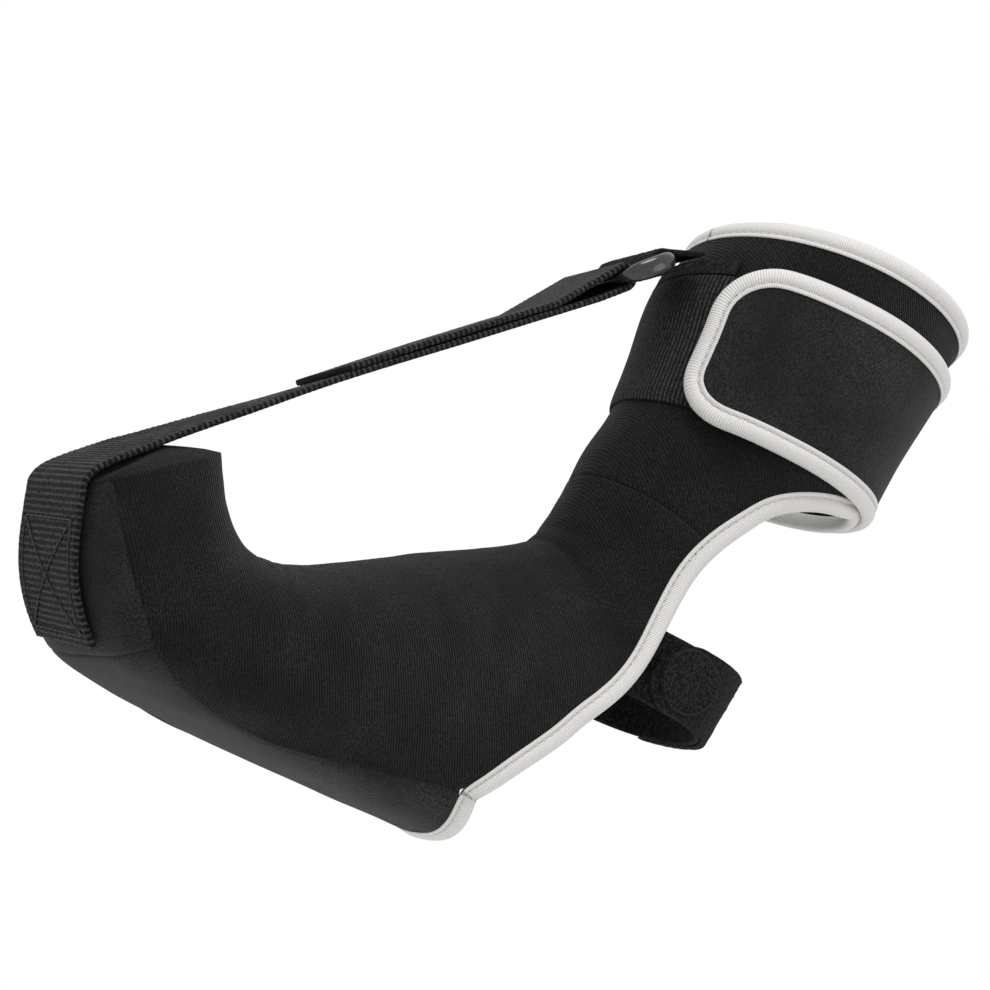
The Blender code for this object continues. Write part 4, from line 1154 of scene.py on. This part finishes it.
def heel_strap_route(half_width, rear, front_near, front_far, count):
    """Plan of a strap round the heel. Its front ends lean inward, behind the bound edge."""
    straight_end = rear - half_width * 0.82
    points = []

    def lean(y):
        return HEEL_LEAN * smooth_step(0.0, HEEL_LEAN_LENGTH, HEEL_LEAN_FROM - y)

    for y in np.linspace(front_near, straight_end, 24):
        points.append((half_width - lean(y), y, 0.0))
    for step in range(1, 40):
        turn = math.pi * step / 40
        back = straight_end + (rear - straight_end) * math.sin(turn)
        points.append((half_width * math.cos(turn), back, 0.0))
    for y in np.linspace(straight_end, front_far, 24):
        points.append((-half_width + lean(y), y, 0.0))
    return resampled(points, count)


def heel_half_width():
    return ANKLE_HALF_WIDTH - CLOTH - 4 * CLEARANCE - HEEL_STRAP_THICKNESS / 2


def heel_tab_offset():
    return HEEL_STRAP_THICKNESS + CLEARANCE * 1.8


def add_heel_strap(material):
    plan = heel_strap_route(heel_half_width(), HEEL_STRAP_REACH, -0.024, -0.024, 300)
    rings = []
    upward = np.array([0.0, HEEL_STRAP_TILT, 1.0])
    upward = upward / np.linalg.norm(upward)
    places = np.array([(x, y, HEEL_STRAP_HEIGHT + HEEL_STRAP_SLOPE * y) for x, y, _ in plan])
    for row in range(len(places)):
        tangent = places[min(row + 1, len(places) - 1)] - places[max(row - 1, 0)]
        outward = np.cross(tangent, upward)
        outward = outward / np.linalg.norm(outward)

        def relief(x):
            return 0.0003 * uneven(places[row] + x * upward, 0.0016)

        rings.append(ribbon_ring(places[row], upward, outward, HEEL_STRAP_WIDTH,
                                 HEEL_STRAP_THICKNESS, relief))
    return add_loft("heel_strap_pile", rings, material)


def heel_tab_surface():
    """The closing tab over the heel strap, with its round front end."""
    half = heel_half_width() + heel_tab_offset()
    rear = HEEL_STRAP_REACH + heel_tab_offset()
    plan = heel_strap_route(half, rear, -0.008, -0.024, 200)
    kept = [point for point in plan if not (point[0] < 0 and point[1] < rear - 0.006)]
    table = np.array([(x, y, HEEL_STRAP_HEIGHT + HEEL_STRAP_SLOPE * y) for x, y, _ in kept])
    reach = path_lengths(table)
    radius = HEEL_STRAP_WIDTH / 2
    upward = np.array([0.0, HEEL_STRAP_TILT, 1.0])
    upward = upward / np.linalg.norm(upward)

    def surface(row, column):
        corner = 0.30
        if column < corner:
            place = radius * (1 - math.cos(0.5 * math.pi * (0.06 + 0.94 * column / corner)))
        else:
            place = radius + (reach[-1] - radius) * (column - corner) / (1 - corner)
        inside = min(place / radius, 1.0)
        half_height = radius * math.sqrt(max(1 - (1 - inside) ** 2, 0.0))
        centre = np.array([np.interp(place, reach, table[:, axis]) for axis in range(3)])
        ahead = np.array([np.interp(place + 0.002, reach, table[:, axis]) for axis in range(3)])
        outward = np.cross(ahead - centre, upward)
        outward = outward / max(np.linalg.norm(outward), 1e-9)
        point = centre + (2 * row - 1) * half_height * upward
        return point + (HEEL_STRAP_THICKNESS / 2 + 0.0003 * uneven(point, 0.0016)) * outward

    return surface


def add_hook_patch(material, thread):
    """A round patch with a sewn border on the closing tab's flat side."""
    face = heel_half_width() + heel_tab_offset() + HEEL_STRAP_THICKNESS / 2 + CLEARANCE
    centre = np.array([face, PATCH_BACK, HEEL_STRAP_HEIGHT + HEEL_STRAP_SLOPE * PATCH_BACK])
    rows, sides = 16, 72
    vertices, faces = [], []
    for row in range(rows + 1):
        radius = PATCH_RADIUS * (row / rows)
        for side in range(sides):
            turn = 2 * math.pi * side / sides
            place = np.array([0.0, radius * math.cos(turn), radius * math.sin(turn)])
            rim = max(0.0, row / rows - 0.86) / 0.14
            height = 0.0012 * math.sqrt(max(0.0, 1 - rim ** 2)) + 0.0002 * uneven(centre + place, 0.0012)
            vertices.append(centre + place + np.array([height, 0.0, 0.0]))
    for row in range(rows):
        for side in range(sides):
            beside = (side + 1) % sides
            faces.append((row * sides + side, (row + 1) * sides + side,
                          (row + 1) * sides + beside, row * sides + beside))
    faces.append(tuple(reversed(range(rows * sides, (rows + 1) * sides))))
    faces.append(tuple(range(sides)))
    made = add_object("patch_pile", vertices, faces, material, [(0.0, 0.0)] * len(vertices))
    stitches = []
    count = 40
    radius = PATCH_RADIUS - 0.0008
    for step in range(count):
        path = []
        for share, height in ((0.12, 0.0009), (0.35, 0.0014), (0.65, 0.0014), (0.88, 0.0009)):
            turn = 2 * math.pi * (step + share) / count
            path.append(centre + np.array([height, radius * math.cos(turn), radius * math.sin(turn)]))
        stitches.append(path)
    threads = add_tubes("patch_stitches", stitches, 0.00018, thread)
    return made, threads


# The scene round the splint

def declare_sheets():
    """Look up, for each sheet of cloth, the pieces that are sewn to it."""
    pieces = bpy.data.objects
    for name, width, length, area, held, sewn in FLAT_CUTS:
        [pieces[piece] for piece in sewn]


def add_floor():
    bpy.ops.mesh.primitive_plane_add(size=6.0, location=(0.0, 0.0, -0.46))
    floor = bpy.context.object
    floor.name = "floor"
    finish = Finish("pale_floor", 0.7, 0.2)
    tone = finish.noise(finish.place.outputs["Object"], 0.4, 2.0)
    finish.colours(tone, (0.88, 0.88, 0.88), (0.90, 0.90, 0.90))
    floor.data.materials.append(finish.material)


def add_light(name, place, target, size, power):
    light = bpy.data.lights.new(name, "AREA")
    light.shape = "DISK"
    light.size = size
    light.energy = power
    made = bpy.data.objects.new(name, light)
    made.location = place
    made.rotation_euler = (Vector(target) - Vector(place)).to_track_quat("-Z", "Y").to_euler()
    bpy.context.scene.collection.objects.link(made)


def set_world():
    world = bpy.data.worlds.new("white_studio")
    bpy.context.scene.world = world
    world.use_nodes = True
    background = world.node_tree.nodes["Background"]
    background.inputs["Color"].default_value = (1.0, 1.0, 1.0, 1.0)
    background.inputs["Strength"].default_value = 1.0
    bpy.context.scene.view_settings.view_transform = "Standard"


def photo_axes():
    """The camera's right, up and back directions, and its place."""
    toward = math.radians(PHOTO_TOWARD_TOES)
    rise = math.radians(PHOTO_ELEVATION)
    roll = math.radians(PHOTO_ROLL)
    back = np.array([math.cos(rise) * math.cos(toward), -math.cos(rise) * math.sin(toward), math.sin(rise)])
    level = np.cross([0.0, 0.0, 1.0], back)
    level = level / np.linalg.norm(level)
    upright = np.cross(back, level)
    right = level * math.cos(roll) - upright * math.sin(roll)
    up = level * math.sin(roll) + upright * math.cos(roll)
    depth = PHOTO_DISTANCE + float(np.dot(back, PHOTO_TARGET))
    focal = PIXELS_PER_METRE * PHOTO_DISTANCE
    middle = PHOTO_PIXELS / 2
    scale = depth / focal
    place = -(right * (PHOTO_ORIGIN_PIXEL[0] - middle) * scale + up * (middle - PHOTO_ORIGIN_PIXEL[1]) * scale
              - back * depth)
    return right, up, back, place, focal


def add_camera():
    right, up, back, place, focal = photo_axes()
    camera = bpy.data.cameras.new("camera")
    camera.sensor_width = SENSOR
    camera.lens = focal / PHOTO_PIXELS * SENSOR
    camera.clip_start = 0.05
    camera.clip_end = 20.0
    made = bpy.data.objects.new("camera", camera)
    axes = np.stack([right, up, back], axis=1)
    made.matrix_world = Matrix([[*axes[row], place[row]] for row in range(3)] + [[0.0, 0.0, 0.0, 1.0]])
    bpy.context.scene.collection.objects.link(made)
    bpy.context.scene.camera = made


def adopt(made, node, slot=None):
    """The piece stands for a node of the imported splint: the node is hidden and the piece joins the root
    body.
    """
    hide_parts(node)
    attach(made, "root")
    slot or node


def follow(made, slot):
    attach(made, "root")


def main():
    set_world()
    knit = knit_finish()
    smooth = smooth_cloth_finish("smooth_cloth", (0.0045, 0.0045, 0.0050), (0.046, 0.046, 0.048), 0.00036)
    strap_webbing = webbing_finish("strap_webbing", 0, STRAP_RIB * 1000)
    band_webbing = webbing_finish("band_webbing", 1, 1.75)
    pile = pile_finish()
    grey = binding_finish()
    grey_thread = thread_finish("grey_thread", (0.42, 0.41, 0.392))
    black_thread = thread_finish("black_thread", (0.006, 0.006, 0.0065))

    toe_rows = list(np.linspace(0.0, SLEEVE_TOE_SHARE, 12)[:-1])
    body_rows = [SLEEVE_TOE_SHARE + (1 - SLEEVE_TOE_SHARE) * share for share in edge_shares(170, 0.004)]
    adopt(add_cloth("sleeve_cloth", sleeve_surface, toe_rows + body_rows, edge_shares(84, 0.006), knit),
          "foot_sleeve")
    start = station_for(0.2, 180.0, 0.0002)
    fold = station_for(TOE_FOLD, 180.0, SEAM / 2)
    adopt(add_cloth("toe_cloth", sole_surface(start, TOE_FOLD - fold, 0.0), edge_shares(40, 0.02),
                    edge_shares(50, 0.01), smooth), "toe_panel")
    adopt(add_cloth("sole_cloth", sole_surface(TOE_FOLD + fold, SOLE_END, 1.0), edge_shares(70, 0.01),
                    edge_shares(50, 0.01), smooth), "sole_panel")
    adopt(add_cloth("ankle_cloth", ankle_surface, edge_shares(36, 0.02), edge_shares(80, 0.01), knit),
          "ankle_panel")
    adopt(add_cloth("cuff_cloth", cuff_surface, edge_shares(50, 0.02), list(np.arange(160) / 160), knit,
                    closed=True), "cuff")
    adopt(add_cloth("flap_cloth", flap_surface, edge_shares(36, 0.02), flap_angles(8, 110), smooth),
          "closure_flap")
    adopt(add_cloth("band_cloth", loop_band_surface, edge_shares(40, 0.02), edge_shares(100, 0.01),
                    band_webbing, LOOP_BAND_THICKNESS), "loop_band")
    adopt(add_cloth("strip_pile", tab_strip_surface, edge_shares(14, 0.03), edge_shares(80, 0.01), pile,
                    TAB_THICKNESS), "tab_strip")
    follow(add_tubes("seam_threads", seam_paths(), SEAM_THREAD, black_thread), "foot_sleeve")
    bindings = (("cuff_binding", cuff_edge_line(), {"closed": True}),
                ("heel_edge_binding", heel_edge_line(), {"closed": True, "rounding": HEEL_CORNER_ROUNDING}),
                ("flap_binding", flap_edge_line(), {"lift": flap_lift}))
    for node, line, options in bindings:
        made, threads = add_binding(node + "_tape", line, grey, grey_thread, **options)
        adopt(made, node)
        follow(threads, node)
    adopt(add_ring(moulded_finish()), "strap_ring")
    strap, strap_threads = add_toe_strap(strap_webbing, thread_finish("strap_thread", (0.020, 0.020, 0.021)))
    adopt(strap, "toe_strap")
    follow(strap_threads, "toe_strap")
    adopt(add_ring_tab(pile), "ring_tab")
    adopt(add_heel_strap(pile), "heel_strap")
    adopt(add_cloth("heel_tab_pile", heel_tab_surface(), edge_shares(24, 0.02), list(np.linspace(0, 1, 90)),
                    pile, HEEL_STRAP_THICKNESS), "heel_strap_tab")
    patch, patch_threads = add_hook_patch(pile, black_thread)
    adopt(patch, "hook_patch")
    follow(patch_threads, "hook_patch")

    declare_sheets()
    add_floor()
    add_light("key_light", (0.55, -0.65, 1.5), (0.0, -0.05, 0.12), 0.9, 16.0)
    add_light("side_light", (1.1, 0.7, 0.5), (0.0, -0.05, 0.12), 0.8, 3.0)
    add_camera()


main()
